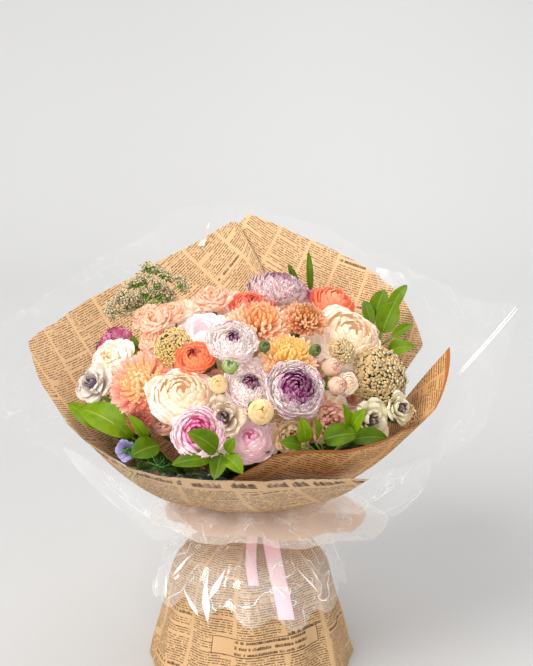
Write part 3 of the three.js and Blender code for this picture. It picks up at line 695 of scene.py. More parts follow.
@dataclass
class Batch:
    """Thin closed shells and small bodies gathered for one object."""

    points: list = field(default_factory=list)
    faces: list = field(default_factory=list)
    places: list = field(default_factory=list)
    tones: list = field(default_factory=list)
    lucks: list = field(default_factory=list)
    count: int = 0

    def add(self, points: Array, faces: Array, uv: Array, tone: Array,
            luck: Array) -> None:
        """Adds points, faces and what the materials read at each point.

        Args:
            points: Points, in mm.
            faces: Faces of four point numbers.
            uv: UV coordinates.
            tone: Each point's tone.
            luck: Each point's random number.
        """
        self.points.append(points)
        self.faces.append(np.asarray(faces) + self.count)
        self.places.append(uv)
        self.tones.append(tone)
        self.lucks.append(luck)
        self.count += len(points)

    def shell(self, points: Array, thickness: float, uv: Array, tone: object = 0.0,
              luck: object = 0.0, round_seam: bool = False) -> None:
        """Adds one thin closed shell for each grid of points.

        Args:
            points: Grids of points, as (shells, along, across, xyz), in mm.
            thickness: The wall's thickness in the middle; it thins to nothing at the rim.
            uv: Coordinates of the points, as (shells, along, across, 2).
            tone: A number for each shell, or for each point.
            luck: A number for each shell.
            round_seam: The grid runs all round, and its first and last columns meet.
        """
        shells, rows, columns = points.shape[:3]
        normals = grid_normals(points)
        half = np.full((rows, columns), thickness / 2)
        inner = np.zeros((rows, columns), bool)
        inner[1:-1, (0 if round_seam else 1):(columns if round_seam else -1)] = True
        half[~inner] = 0.0
        upper = points + normals * half[None, :, :, None]
        lower = points - normals * half[None, :, :, None]
        top = np.arange(rows * columns).reshape(rows, columns)
        bottom = top.copy()
        bottom[inner] = rows * columns + np.arange(inner.sum())
        quads = []
        for index, flip in ((top, False), (bottom, True)):
            a, b, c, d = index[:-1, :-1], index[:-1, 1:], index[1:, 1:], index[1:, :-1]
            order = (d, c, b, a) if flip else (a, b, c, d)
            quads.append(np.stack([part.ravel() for part in order], 1))
        quads = np.concatenate(quads)
        size = rows * columns + int(inner.sum())
        tone = tone if np.ndim(tone) > 2 else np.reshape(tone, (-1, 1, 1))
        tone = np.broadcast_to(tone, (shells, rows, columns))
        luck = np.broadcast_to(np.reshape(luck, (-1, 1, 1)), (shells, rows, columns))

        def both(values: Array) -> Array:
            """The values of the upper points, then those of the lower ones inside the rim."""
            flat = values.reshape(shells, rows * columns, -1)
            return np.concatenate([flat, flat[:, inner.ravel()]], 1).reshape(shells * size, -1)

        below = lower.reshape(shells, -1, 3)[:, inner.ravel()]
        mesh = np.concatenate([upper.reshape(shells, -1, 3), below], 1)
        faces = (quads[None] + (np.arange(shells) * size)[:, None, None]).reshape(-1, 4)
        self.add(mesh.reshape(-1, 3), faces, both(uv), both(tone)[:, 0], both(luck)[:, 0])

    def tube(self, path: Array, radius: object, sides: int = 6, luck: float = 0.5) -> None:
        """Adds a closed tube along a path of points, in mm.

        Args:
            path: The points.
            radius: One radius, or one for each point.
            sides: How many sides it has.
            luck: Its random number.
        """
        path = np.asarray(path, float)
        radii = np.broadcast_to(radius, (len(path),))
        run = np.gradient(path, axis=0)
        run /= np.linalg.norm(run, axis=1, keepdims=True)
        side = np.cross(run[0], [0.3, 0.9, 0.2])
        rings = []
        for point, direction, r in zip(path, run, radii):
            side = side - direction * (side @ direction)
            side /= np.linalg.norm(side)
            other = np.cross(direction, side)
            turn = np.linspace(0, 2 * math.pi, sides, endpoint=False)[:, None]
            rings.append(point + r * (np.cos(turn) * side + np.sin(turn) * other))
        points = np.concatenate(rings + [path[:1], path[-1:]])
        k = np.arange(len(path) - 1)[:, None] * sides
        i = np.arange(sides)[None]
        j = (i + 1) % sides
        quads = np.stack([k + i, k + j, k + sides + j, k + sides + i], -1).reshape(-1, 4)
        last = (len(path) - 1) * sides
        first, end = len(points) - 2, len(points) - 1
        caps = [[first, int(b), int(a), int(a)] for a, b in zip(i[0], j[0])]
        caps += [[end, last + int(a), last + int(b), last + int(b)] for a, b in zip(i[0], j[0])]
        faces = np.concatenate([quads, np.array(caps)])
        uv = np.zeros((len(points), 2))
        uv[:, 0] = 0.5
        uv[:len(path) * sides, 1] = np.repeat(np.linspace(0, 1, len(path)), sides)
        self.add(points, faces, uv, np.full(len(points), 0.5), np.full(len(points), luck))

    def copies(self, mould: "Mould", places: Array, ups: Array, sizes: Array,
               lucks: Array) -> None:
        """Adds a copy of a mould at each place, turned to its up direction.

        Args:
            mould: The mould.
            places: Their middles, in mm.
            ups: Their up directions.
            sizes: Their radii, in mm.
            lucks: Their random numbers.
        """
        x, y, z = ups.T
        k = 1 / np.maximum(1 + z, 0.02)
        turns = np.stack([1 - x * x * k, -x * y * k, x, -x * y * k, 1 - y * y * k, y, -x, -y, z], 1)
        count, size = len(places), len(mould.points)
        points = np.einsum("nij,mj->nmi", turns.reshape(-1, 3, 3), mould.points)
        points = points * np.reshape(sizes, (-1, 1, 1)) + places[:, None]
        faces = (mould.faces[None] + (np.arange(count) * size)[:, None, None]).reshape(-1, 4)
        uv = np.tile(stacked(0.5, (mould.points[:, 2] + 1) / 2), (count, 1))
        self.add(points.reshape(-1, 3), faces, uv, np.full(count * size, 0.5), np.repeat(lucks, size))

    def build(self, name: str, material: Material, offset: Array, layer: str = "petal",
              merge: bool = False, crease: float = 70.0) -> bpy.types.Object:
        """Makes the object.

        Args:
            name: The object's name.
            material: Its material.
            offset: The tie's axis in the row frame, in mm.
            layer: The name of its UV map.
            merge: Points that meet are merged, as along a seam.
            crease: Edges sharper than this many degrees are shaded as edges.

        Returns:
            The object, at the origin, with its place in its mesh.
        """
        points = (np.concatenate(self.points) + offset) * MM
        faces = [tuple(dict.fromkeys(face)) for face in np.concatenate(self.faces).tolist()]
        mesh = bpy.data.meshes.new(name)
        mesh.from_pydata(points.tolist(), [], faces)
        loops = np.zeros(len(mesh.loops), np.int32)
        mesh.loops.foreach_get("vertex_index", loops)
        uv = np.concatenate(self.places)[loops]
        mesh.uv_layers.new(name=layer).data.foreach_set("uv", uv.astype(np.float32).ravel())
        for key, values in (("tone", self.tones), ("luck", self.lucks)):
            mesh.attributes.new(key, "FLOAT", "POINT").data.foreach_set(
                "value", np.concatenate(values).astype(np.float32))
        piece = bpy.data.objects.new(name, mesh)
        bpy.context.scene.collection.objects.link(piece)
        mesh.materials.append(material)
        select_only(piece)
        bpy.ops.object.mode_set(mode="EDIT")
        bpy.ops.mesh.select_all(action="SELECT")
        if merge:
            bpy.ops.mesh.remove_doubles(threshold=0.00002)
        bpy.ops.mesh.normals_make_consistent(inside=False)
        bpy.ops.object.mode_set(mode="OBJECT")
        bpy.ops.object.shade_smooth_by_angle(angle=math.radians(crease))
        piece.select_set(False)
        return piece


def select_only(piece: bpy.types.Object) -> None:
    """Selects one object and makes it the active one.

    Args:
        piece: The object.
    """
    bpy.ops.object.select_all(action="DESELECT")
    piece.select_set(True)
    bpy.context.view_layer.objects.active = piece


@dataclass
class Mould:
    """A small body that is modelled once and copied."""

    points: Array
    faces: Array

    @classmethod
    def floret(cls, segments: int = 7, rings: int = 5) -> "Mould":
        """A small round floret: a sphere whose top is pressed in.

        Args:
            segments: Its segments.
            rings: Its rings.

        Returns:
            The mould.
        """
        bpy.ops.mesh.primitive_uv_sphere_add(segments=segments, ring_count=rings, radius=1.0)
        piece = bpy.context.object
        bpy.ops.object.mode_set(mode="EDIT")
        bpy.ops.mesh.select_all(action="SELECT")
        bpy.ops.transform.resize(value=(1.0, 1.0, 0.85))
        bpy.ops.object.mode_set(mode="OBJECT")
        data = piece.data
        points = np.array([v.co for v in data.vertices])
        corners = [list(face.vertices) for face in data.polygons]
        faces = np.array([loop + [loop[-1]] * (4 - len(loop)) for loop in corners])
        bpy.data.objects.remove(piece)
        bpy.data.meshes.remove(data)
        return cls(points, faces)


# Petals and blooms


@dataclass
class PetalRing:
    """One layer of alike petals, in units of the bloom's radius; angles are from the bloom's axis."""

    count: int
    rim: float
    height: float
    rise: float
    end: float
    base: float = 0.12
    foot: float = -0.48
    belly: float = 0.45
    cover: float = 1.5
    narrow: float = 0.0
    lip: float = 0.0
    ruffle: float = 0.0
    waves: float = 2.0
    blunt: float = 4.0
    waist: float = 0.45
    turn: float = 0.0
    tone: float = 0.5
    loose: float = 1.0


class Form(Enum):
    """The kinds of bloom."""

    RANUNCULUS = auto()
    GLOBE = auto()
    ROSE = auto()
    HALF_OPEN = auto()
    MUM = auto()
    RUFFLED = auto()
    OPEN = auto()
    SILKY = auto()
    TWISTED = auto()
    BUD = auto()
    CLUSTER = auto()


def layers(count: int) -> list[tuple[int, float]]:
    """Numbers from 0, each with its share of the way to the last."""
    return [(k, k / (count - 1)) for k in range(count)]


def between(first: float, last: float, share: float, power: float = 1.0) -> float:
    """A value between two others."""
    return first + (last - first) * share ** power


def dome_ring(count: int, polar: float, wide: float, tall: float, lean: float, **more: float) -> PetalRing:
    """A layer whose rims lie on a dome and follow it.

    Args:
        count: The number of petals.
        polar: How far from the dome's top the rims are, in degrees.
        wide: The dome's radius.
        tall: The dome's height above its middle.
        lean: How far the rims lean out from the dome, in degrees.
        **more: Other fields of the layer.

    Returns:
        The layer.
    """
    turn = math.radians(polar)
    follow = math.degrees(math.atan2(-wide * math.cos(turn), tall * math.sin(turn)))
    rise = between(40, 88, min(polar / 90, 1))
    rim, height = wide * math.sin(turn), tall * math.cos(turn) - 0.08
    return PetalRing(count, rim, height, rise, follow * 0.8 + lean, **more)


def rings_of(form: Form) -> list[PetalRing]:
    """The layers of petals of a kind of bloom.

    Args:
        form: The kind of bloom.

    Returns:
        Its layers, from the heart outwards.
    """
    rings = []
    if form in (Form.RANUNCULUS, Form.GLOBE):
        last, far, wide, tall = (14, 104, 0.97, 0.52) if form is Form.GLOBE else (13, 78, 0.78, 0.5)
        for k, t in layers(last):
            rings.append(dome_ring(
                4 + int(k * 0.5), between(5, far, t, 1.1), wide, tall, between(15, 2, t), cover=1.3,
                ruffle=0.01 + 0.014 * t, base=between(0.05, 0.3, t), turn=37.0 * k, tone=0.75 * t, waves=2.6))
        for k, t in layers(3 if form is Form.RANUNCULUS else 0):
            rings.append(PetalRing(
                6 + k, between(0.84, 0.98, t), between(0.16, 0.0, t), 88, between(8, 58, t), base=0.3,
                belly=0.55, cover=1.75, ruffle=0.03 + 0.025 * t, turn=29.0 * k + 11, tone=0.8 + 0.2 * t,
                waves=3.0, lip=18, blunt=7.0))
    elif form is Form.ROSE:
        for k, t in layers(16):
            rings.append(dome_ring(
                4 + k // 3, between(7, 100, t), 0.93, 0.62, between(12, -1, t), cover=1.35,
                ruffle=between(0.024, 0.018, t), base=between(0.08, 0.3, t), turn=41.0 * k, tone=t, waves=3.1,
                loose=1.1, blunt=6.0))
        rings.append(PetalRing(6, 0.98, 0.12, 86, 20, base=0.3, cover=1.4, ruffle=0.04, waves=2.4, lip=24,
                               turn=17.0, tone=1.0, blunt=7.0))
    elif form is Form.HALF_OPEN:
        for k, t in layers(9):
            rings.append(dome_ring(
                3 + k // 3, between(8, 84, t), between(0.6, 0.92, t), 0.66, between(14, 10, t), cover=1.45,
                ruffle=0.015 + 0.02 * t, base=between(0.08, 0.2, t), foot=-0.6, turn=53.0 * k, tone=t,
                lip=24 * t * t))
    elif form is Form.MUM:
        for k, t in layers(16):
            polar = between(3, 108, t, 0.92)
            turn = math.radians(polar)
            rings.append(PetalRing(
                7 + int(1.55 * k), 0.96 * math.sin(turn), 0.66 * math.cos(turn) - 0.06, between(12, 84, t),
                polar - 92 + 72 * t, base=0.06 + 0.1 * t, foot=between(-0.1, -0.3, t), turn=23.0 * k, tone=t,
                narrow=between(0.055, 0.082, t), blunt=14.0, waist=0.55, loose=1.9))
    elif form is Form.RUFFLED:
        for k, t in layers(8):
            rings.append(PetalRing(
                4 + k // 2, between(0.1, 0.93, t, 0.85), between(0.48, 0.06, t, 1.6), between(15, 80, t),
                between(-8, 62, t), cover=1.35, ruffle=0.08, waves=4.2, blunt=8.0, turn=31.0 * k, tone=t,
                loose=1.7, base=0.08 + 0.12 * t))
    elif form is Form.OPEN:
        for k, t in layers(2):
            rings.append(PetalRing(5, 0.86 + 0.1 * t, 0.26 - 0.08 * t, 84, 50 + 20 * t, base=0.14, foot=-0.3,
                                   cover=1.15, ruffle=0.04, waves=2.0, turn=36.0 * k, tone=0.55 + 0.4 * t))
    elif form is Form.SILKY:
        for k, t in layers(6):
            rings.append(dome_ring(
                3 + k // 2, between(14, 84, t), 0.96, 0.52, between(12, 14, t), cover=1.4, ruffle=0.04,
                waves=2.2, turn=47.0 * k, tone=t, lip=20 * t, base=0.1 + 0.12 * t))
    elif form is Form.TWISTED:
        for k, t in layers(4):
            rings.append(PetalRing(
                3 + k // 2, between(0.14, 0.92, t), between(0.44, 0.1, t), between(30, 84, t),
                between(-24, 48, t), base=0.14, foot=-0.4, cover=1.3, ruffle=between(0.05, 0.1, t), waves=1.6,
                lip=between(20, 60, t), turn=64.0 * k, tone=t, loose=2.4, blunt=6.0))
    elif form is Form.BUD:
        for k, t in layers(4):
            rings.append(PetalRing(
                3, between(0.03, 0.5, t), between(0.86, 0.64, t), 88, between(-86, -42, t), base=0.1,
                foot=-0.82, belly=0.52 + 0.02 * k, cover=1.5, turn=44.0 * k, tone=t, blunt=5.0, waist=0.8))
    return rings


@dataclass
class Bloom:
    """One bloom of thin petals about its own axis."""

    form: Form
    place: Array
    out: Array
    radius: float
    seed: int
    thick: float = 0.35
    coarse: bool = False

    def turned(self, points: Array) -> Array:
        """Points of the bloom's own frame, in units of its radius, put in place."""
        turn = np.array(Vector((0, 0, 1)).rotation_difference(Vector(self.out)).to_matrix())
        return (points * self.radius) @ turn.T + self.place

    def petals(self, ring: PetalRing, luck: np.random.Generator) -> tuple[Array, Array, Array]:
        """Grids of points for one layer's petals.

        Args:
            ring: The layer.
            luck: The bloom's own random numbers.

        Returns:
            The points in units of the radius, their UV coordinates, and a random number for each petal.
        """
        rows, columns = (7, 3) if ring.narrow else (8, 9) if ring.waves > 4 else (8, 7)
        if self.coarse:
            rows, columns = 5, min(columns, 5)
        v = np.sin(np.linspace(0, math.pi / 2, rows))
        u = np.linspace(-1, 1, columns)
        n = ring.count
        jitter = luck.normal(0, 1, (6, n, 1)) * ring.loose
        azimuth = np.radians(ring.turn + 360 * np.arange(n)[:, None, None] / n + jitter[0][..., None] * 4)
        rim = np.maximum(ring.rim * (1 + 0.03 * jitter[2]), 0.02)
        height = ring.height + 0.02 * jitter[3]
        rise = np.radians(ring.rise + 3 * jitter[4])
        end = np.radians(ring.end + 4 * jitter[5])
        span = np.hypot(rim - ring.base, height - ring.foot)
        first, last = ring.belly * span, 0.38 * span
        bend = ((1 - v) ** 3, 3 * (1 - v) ** 2 * v, 3 * (1 - v) * v ** 2, v ** 3)
        radial = (bend[0] * ring.base + bend[1] * (ring.base + np.sin(rise) * first)
                  + bend[2] * (rim - np.sin(end) * last) + bend[3] * rim)
        upward = (bend[0] * ring.foot + bend[1] * (ring.foot + np.cos(rise) * first)
                  + bend[2] * (height - np.cos(end) * last) + bend[3] * height)
        angle = np.arctan2(np.gradient(radial, axis=1), np.gradient(upward, axis=1))
        lip = np.clip((v - 0.6) / 0.4, 0, 1)
        curl = math.radians(ring.lip) * lip ** 2
        reach = lip * span * 0.16
        radial = np.maximum(radial + np.sin(curl) * np.cos(angle) * reach, 0.015)
        upward = upward - np.sin(curl) * np.sin(angle) * reach
        outline = (ring.waist + (1 - ring.waist) * v ** 0.8) * np.sqrt(np.clip(1 - v ** ring.blunt, 0, 1))
        outline[-1] = 0.05
        normal_r, normal_z = np.cos(angle)[..., None], -np.sin(angle)[..., None]
        phase = luck.uniform(0, 2 * math.pi, (n, 1, 1))
        if ring.narrow:
            side = u[None, None] * ring.narrow * outline[None, :, None]
            lift = -1.1 * ring.narrow * u[None, None] ** 2 * outline[None, :, None]
            r, z = radial[..., None] + normal_r * lift, upward[..., None] + normal_z * lift
            cos, sin = np.cos(azimuth), np.sin(azimuth)
            points = stacked(r * cos - side * sin, r * sin + side * cos, z)
        else:
            edge = np.clip(np.maximum(v[None, :, None] ** 4, np.abs(u) ** 3 * v[None, :, None]), 0, 1)
            swing = math.pi * ring.waves * u
            wave = (np.sin(swing + phase) + 0.5 * np.sin(swing * 2.1 - phase)) * edge
            bearing = azimuth + u[None, None] * ring.cover * math.pi / n * outline[None, :, None]
            lift = ring.ruffle * wave + 0.022 * u[None, None] * v[None, :, None] - 0.03 * u[None, None] ** 2
            r = np.maximum(radial[..., None] + normal_r * lift, 0.01)
            z = upward[..., None] + normal_z * lift
            points = stacked(r * np.cos(bearing), r * np.sin(bearing), z)
        uv = np.broadcast_to(np.stack(np.meshgrid((u + 1) / 2, v), -1)[None], (n, rows, columns, 2))
        return points, uv, luck.uniform(0, 1, n)

    def add_to(self, batch: Batch) -> None:
        """Adds the bloom's petals to a batch.

        Args:
            batch: Where it is added.
        """
        luck = np.random.default_rng(self.seed)
        spin = luck.uniform(0, 360)
        for ring in rings_of(self.form)[::2 if self.coarse else 1]:
            ring.turn += spin
            points, uv, lucks = self.petals(ring, luck)
            batch.shell(self.turned(points), self.thick, uv, np.full(len(points), ring.tone), lucks)

    def heart(self, batch: Batch, mould: Mould) -> None:
        """Adds a dome of small stamens at the middle of an open bloom.

        Args:
            batch: Where it is added.
            mould: One stamen.
        """
        luck = np.random.default_rng(self.seed + 5)
        count = 60
        unit = ray(*spiral(count, 0.8))
        places = self.turned(unit * np.array([0.24, 0.24, 0.2]) + np.array([0, 0, -0.02]))
        ring = self.turned((unit * np.array([0.36, 0.36, 0.24]))[::2])
        size = np.full(count, 0.04 * self.radius)
        up = np.repeat(self.out[None], count, 0)
        batch.copies(mould, places, up, size, luck.uniform(0, 1, count))
        batch.copies(mould, ring, up[::2], size[::2] * 0.7, luck.uniform(0, 1, len(ring)))


def outward(place: Array) -> Array:
    """The direction a bloom looks in: away from the dome, and a little to the front.

    Args:
        place: The bloom's middle.

    Returns:
        A unit vector.
    """
    out = unit_of((place - DOME_MIDDLE) / DOME_REACH ** 2)
    out[1] -= FRONT_LEAN
    return unit_of(out)


def leaning(out: Array, lean: float, rise: float = 0.0, side: float = 0.0) -> Array:
    """A direction turned some way to the front, upwards and to the right."""
    return unit_of(out + lean * np.array([0.0, -0.93, 0.36]) + np.array([side, 0.0, rise]))


@dataclass(frozen=True)
class Kind:
    """How a CAD bloom is dressed.

    foot is its solid's lowest point in radii, size scales it, lean, rise and side turn it to the front,
    upwards and to the right, and shift sets it right, back and up, in mm.
    """

    form: Form
    finish: str
    foot: float
    size: float = 1.06
    lean: float = 0.0
    rise: float = 0.25
    side: float = 0.0
    shift: tuple[float, float, float] = (0.0, 0.0, 0.0)


# Finishes of petals: body, base, rim and heart colours, the rim's share and start, the heart's size, the
# painted glow that lifts the shade between petals, the streaks, and the speckles' amount and colour
FINISHES = {name: PetalFinish(name, *row) for name, row in {
    "picotee_light": (0xF5EAE2, 0xE8DEC0, 0xF6E4E0, 0x5E1446, 0.5, 0.86, 0.08, 0.12, 0.16, 0.44, 0x84205C),
    "picotee_dark": (0xF4E6DE, 0xF0E2CC, 0xF2DCD8, 0x760658, 0.5, 0.86, 0.46, 0.06, 0.16, 0.5, 0x84185E),
    "picotee_speckled": (0xFDF0E8, 0xF2E2D4, 0xF6DEDC, 0x5E1040, 0.6, 0.84, 0.15, 0.16, 0.16, 0.48, 0x7A184E),
    "picotee_mauve": (0xEAD6CE, 0xE4D0C4, 0xDCBABC, 0xA87C8A, 0.7, 0.8, 0.06, 0.08, 0.16, 0.66, 0x86305C),
    "pink_rim": (0xFCE2E6, 0xFCE9E4, 0xF6B4CC, 0xD8508E, 0.6, 0.86, 0.22),
    "pink_pale": (0xFAE0E2, 0xFCEDE8, 0xF2C0CC, 0xECA0BC, 0.5, 0.8, 0.14),
    "cream_green": (0xF0D09A, 0xDCD28C, 0xDDA080, 0xE0B878, 0.45, 0.8, 0.1),
    "green_bud": (0x93AE58, 0x7A9C40, 0xC8B0B4, 0x4F6E28, 0.6, 0.8, 0.1),
    "cream_rose": (0xF8E4D2, 0xF4D2AE, 0xFCEEE0, 0xF6D2AE, 0.5, 0.75, 0.5, 0.13, 0.3),
    "cream_peach_rose": (0xF7E6D6, 0xF2D2B2, 0xFBEDE0, 0xF4D6B4, 0.5, 0.75, 0.5, 0.13, 0.26),
    "coral": (0xF99872, 0xFBAA78, 0xF7785A, 0xF99C78, 0.6, 0.72, 0.3),
    "red_coral": (0xF8967C, 0xFAA67C, 0xF27A62, 0xCC4C40, 0.6, 0.7, 0.14),
    "orange": (0xFD9668, 0xFFB07A, 0xF97250, 0x962420, 0.6, 0.8, 0.08),
    "peach_mum": (0xFDBC8E, 0xCC7434, 0xFFE8CA, 0xF2A864, 0.85, 0.56, 0.3, 0.09),
    "yellow_mum": (0xFDD09A, 0xDA8C3A, 0xFFE2C8, 0xFED478, 0.85, 0.6, 0.45, 0.09),
    "salmon_mum": (0xFF9C84, 0xC64E42, 0xFFDACA, 0xFFDEA6, 0.88, 0.5, 0.42, 0.09),
    "bronze_mum": (0xEA9A62, 0x9C4A1E, 0xFCCEA0, 0xD2843E, 0.8, 0.58, 0.2, 0.06),
    "rust_mum": (0xCC7460, 0x96422E, 0xE0987E, 0xA84A3C, 0.6, 0.65, 0.3),
    "blush_white": (0xFEF0EE, 0xFCF6F0, 0xF8D4DC, 0xF8E2E4, 0.6, 0.74, 0.1, 0.15),
    "peach_frill": (0xFACDB0, 0xF6D0A4, 0xF6B49A, 0xF4BC92, 0.5, 0.7),
    "magenta_frill": (0xF2D2DC, 0xFBF2EC, 0xA8145A, 0xDC9ABA, 0.95, 0.76, 0.04, 0.1, 0.3),
    "cream_frill": (0xFCEEDC, 0xF2D4A6, 0xFDF4E8, 0xF4DAB0, 0.5, 0.7, 0.2, 0.12, 0.24),
    "white_lilac": (0xDACCBC, 0xA898A0, 0xE8DED2, 0x6E5A70, 0.4, 0.7, 0.12, 0.04),
    "lilac": (0xA99CD2, 0x6650A2, 0xC6BCE2, 0x4E3A86, 0.5, 0.7, 0.1),
    "smoky": (0xDAC2A6, 0x84604E, 0xE2D0BC, 0x2E161A, 0.7, 0.84, 0.24, 0.05, 0.16, 0.2, 0x7A4656),
    "pale_green_white": (0xEAE0BE, 0x9E9258, 0xF2EAD0, 0x4A2A38, 0.4, 0.66, 0.0, 0.03, 0.24),
    "dusty_rose": (0xE9B49C, 0xCE8A6C, 0xE8A692, 0xC67E62, 0.5, 0.7, 0.2, 0.05),
    "blush_bud": (0xE6C0A4, 0xBCB07C, 0xEEB4A2, 0xD89C88, 0.6, 0.7, 0.2, 0.05),
    "beige_frill": (0xE6C69A, 0xC49C62, 0xDDB78A, 0xC09458, 0.5, 0.7, 0.2, 0.04),
    "pod_green": (0x5E6C3A, 0x4A5A30, 0x828E4C, 0x3A4824, 0.5, 0.8, 0.2, 0.03),
}.items()}

KINDS = {
    "ranunculus_picotee_top": Kind(Form.GLOBE, "picotee_mauve", -0.6, 1.04, 0.0, 0.8, shift=(-2, 0, -4)),
    "ranunculus_picotee_mid": Kind(Form.RANUNCULUS, "picotee_light", -0.6, 0.93, 0.0, 0.4, 0.1, (-2, 0, -8)),
    "ranunculus_picotee_big": Kind(Form.RANUNCULUS, "picotee_dark", -0.6, 0.96, 0.0, 0.3, 0.1, (-6, 0, -7)),
    "ranunculus_picotee_low": Kind(Form.RANUNCULUS, "picotee_speckled", -0.6, 1.16, 0.0, 0.7, 0.4),
    "ranunculus_pink": Kind(Form.GLOBE, "pink_rim", -0.6, 1.0, 0.0, 0.6, 0.3, shift=(11, -15, 23)),
    "ranunculus_pink_half_open": Kind(Form.HALF_OPEN, "pink_pale", -0.66, 1.06, 0.0, 0.8),
    "ranunculus_cream_bud": Kind(Form.BUD, "cream_green", -0.9, 1.18, shift=(-3, 0, -3)),
    "ranunculus_green_bud": Kind(Form.BUD, "green_bud", -0.9),
    "ranunculus_blush_bud": Kind(Form.BUD, "cream_green", -0.9),
    "garden_rose_cream_left": Kind(Form.ROSE, "cream_rose", -0.66, 1.04, 0.0, 1.0, 0.5, shift=(9, 0, -10)),
    "garden_rose_cream_right": Kind(Form.ROSE, "cream_peach_rose", -0.66, 1.15, 0.4, shift=(-4, 0, -4)),
    "ranunculus_coral_right": Kind(Form.HALF_OPEN, "coral", -0.6, 1.04, 0.5, shift=(0, 0, -3)),
    "ranunculus_coral_back": Kind(Form.RANUNCULUS, "red_coral", -0.6, 1.12, 0.3),
    "chrysanthemum_peach": Kind(Form.MUM, "peach_mum", -0.56, 1.14, 0.0, 0.8, shift=(0, 0, -4)),
    "chrysanthemum_bronze": Kind(Form.MUM, "bronze_mum", -0.56, 0.98, 0.0, 0.7, shift=(-4, 0, -4)),
    "chrysanthemum_yellow": Kind(Form.MUM, "yellow_mum", -0.56, 1.14, 0.0, 0.6, shift=(-2, 0, -9)),
    "chrysanthemum_salmon": Kind(Form.MUM, "salmon_mum", -0.56, 1.12, 0.7, 0.6, 0.3, shift=(8, 0, -6)),
    "chrysanthemum_small": Kind(Form.MUM, "rust_mum", -0.56, 1.15),
    "ranunculus_orange": Kind(Form.RANUNCULUS, "orange", -0.6, 0.92, 0.0, 0.6, shift=(9, 0, -10)),
    "ranunculus_blush_white": Kind(Form.SILKY, "blush_white", -0.6, 1.1, shift=(0, 0, -9)),
    "carnation_peach": Kind(Form.RUFFLED, "peach_frill", -0.56, 1.1),
    "carnation_magenta_left": Kind(Form.RUFFLED, "magenta_frill", -0.56, 1.12, 0.4, shift=(-12, 0, -5)),
    "carnation_magenta_back": Kind(Form.RUFFLED, "magenta_frill", -0.56, 1.1),
    "lisianthus_cream_left": Kind(Form.RUFFLED, "cream_frill", -0.56, 1.24, 0.5, shift=(-2, 0, -4)),
    "anemone_white_left": Kind(Form.TWISTED, "white_lilac", -0.46, 1.1, 0.3),
    "anemone_lilac": Kind(Form.OPEN, "lilac", -0.46, 1.1),
    "anemone_grey": Kind(Form.TWISTED, "smoky", -0.46, 0.88, shift=(-2, 0, -1)),
    "anemone_white_right": Kind(Form.TWISTED, "pale_green_white", -0.46, 1.32),
    "alstroemeria_cream": Kind(Form.TWISTED, "pale_green_white", -0.46, 1.32),
    "lisianthus_dusty": Kind(Form.RUFFLED, "dusty_rose", -0.56, 1.12),
    "lisianthus_beige": Kind(Form.RUFFLED, "beige_frill", -0.56, 1.15),
}

# Clusters: how far each is set to the right and up, and its size
CLUSTERS = {
    "rice_flower_right": (-8.0, 0.0, 1.0), "rice_flower_inner": (0.0, 0.0, 1.05),
    "rice_flower_low": (2.0, 8.0, 1.15), "rice_flower_yellow": (11.0, -6.0, 1.28),
}

# Branches: where each forks, and its heads by kind, as (finish, place, radius)
BRANCHES = {
    "stock_peach": ((-94, -12, 346), {Form.RUFFLED: (
        ("peach_frill", (-114, -4, 402), 20), ("peach_frill", (-102, -28, 404), 21),
        ("peach_frill", (-84, -16, 409), 20), ("peach_frill", (-106, -38, 384), 18))}),
    "spray_rose_blush": ((80, -64, 336), {
        Form.BUD: (("blush_bud", (86, -86, 370), 13), ("blush_bud", (92, -102, 354), 13)),
        Form.HALF_OPEN: (("cream_peach_rose", (104, -88, 352), 13),)}),
    "scabiosa_pods": ((20, -44, 352), {Form.BUD: (
        ("pod_green", (16, -98, 396), 8), ("pod_green", (69, -92, 390), 8))}),
    "spray_rose_back": ((-60, 52, 330), {Form.ROSE: (
        ("cream_rose", (-76, 40, 390), 31), ("cream_peach_rose", (-34, 66, 398), 30),
        ("cream_rose", (-104, 84, 348), 31), ("cream_peach_rose", (-40, 112, 350), 30))}),
    "spray_chrysanthemum_back": ((56, 62, 330), {Form.MUM: (
        ("peach_mum", (20, 94, 386), 31), ("bronze_mum", (72, 92, 366), 31),
        ("peach_mum", (112, 62, 360), 28), ("yellow_mum", (18, 120, 338), 29))}),
    "lisianthus_spray_inner": ((0, -56, 306), {Form.RUFFLED: (
        ("beige_frill", (24, -100, 334), 22), ("dusty_rose", (-34, -92, 348), 21),
        ("peach_frill", (64, -92, 332), 21), ("dusty_rose", (-92, -94, 316), 20))}),
}

SMALL_FINISHES = ("peach_frill", "dusty_rose", "cream_frill", "blush_white", "beige_frill",
                  "cream_peach_rose")


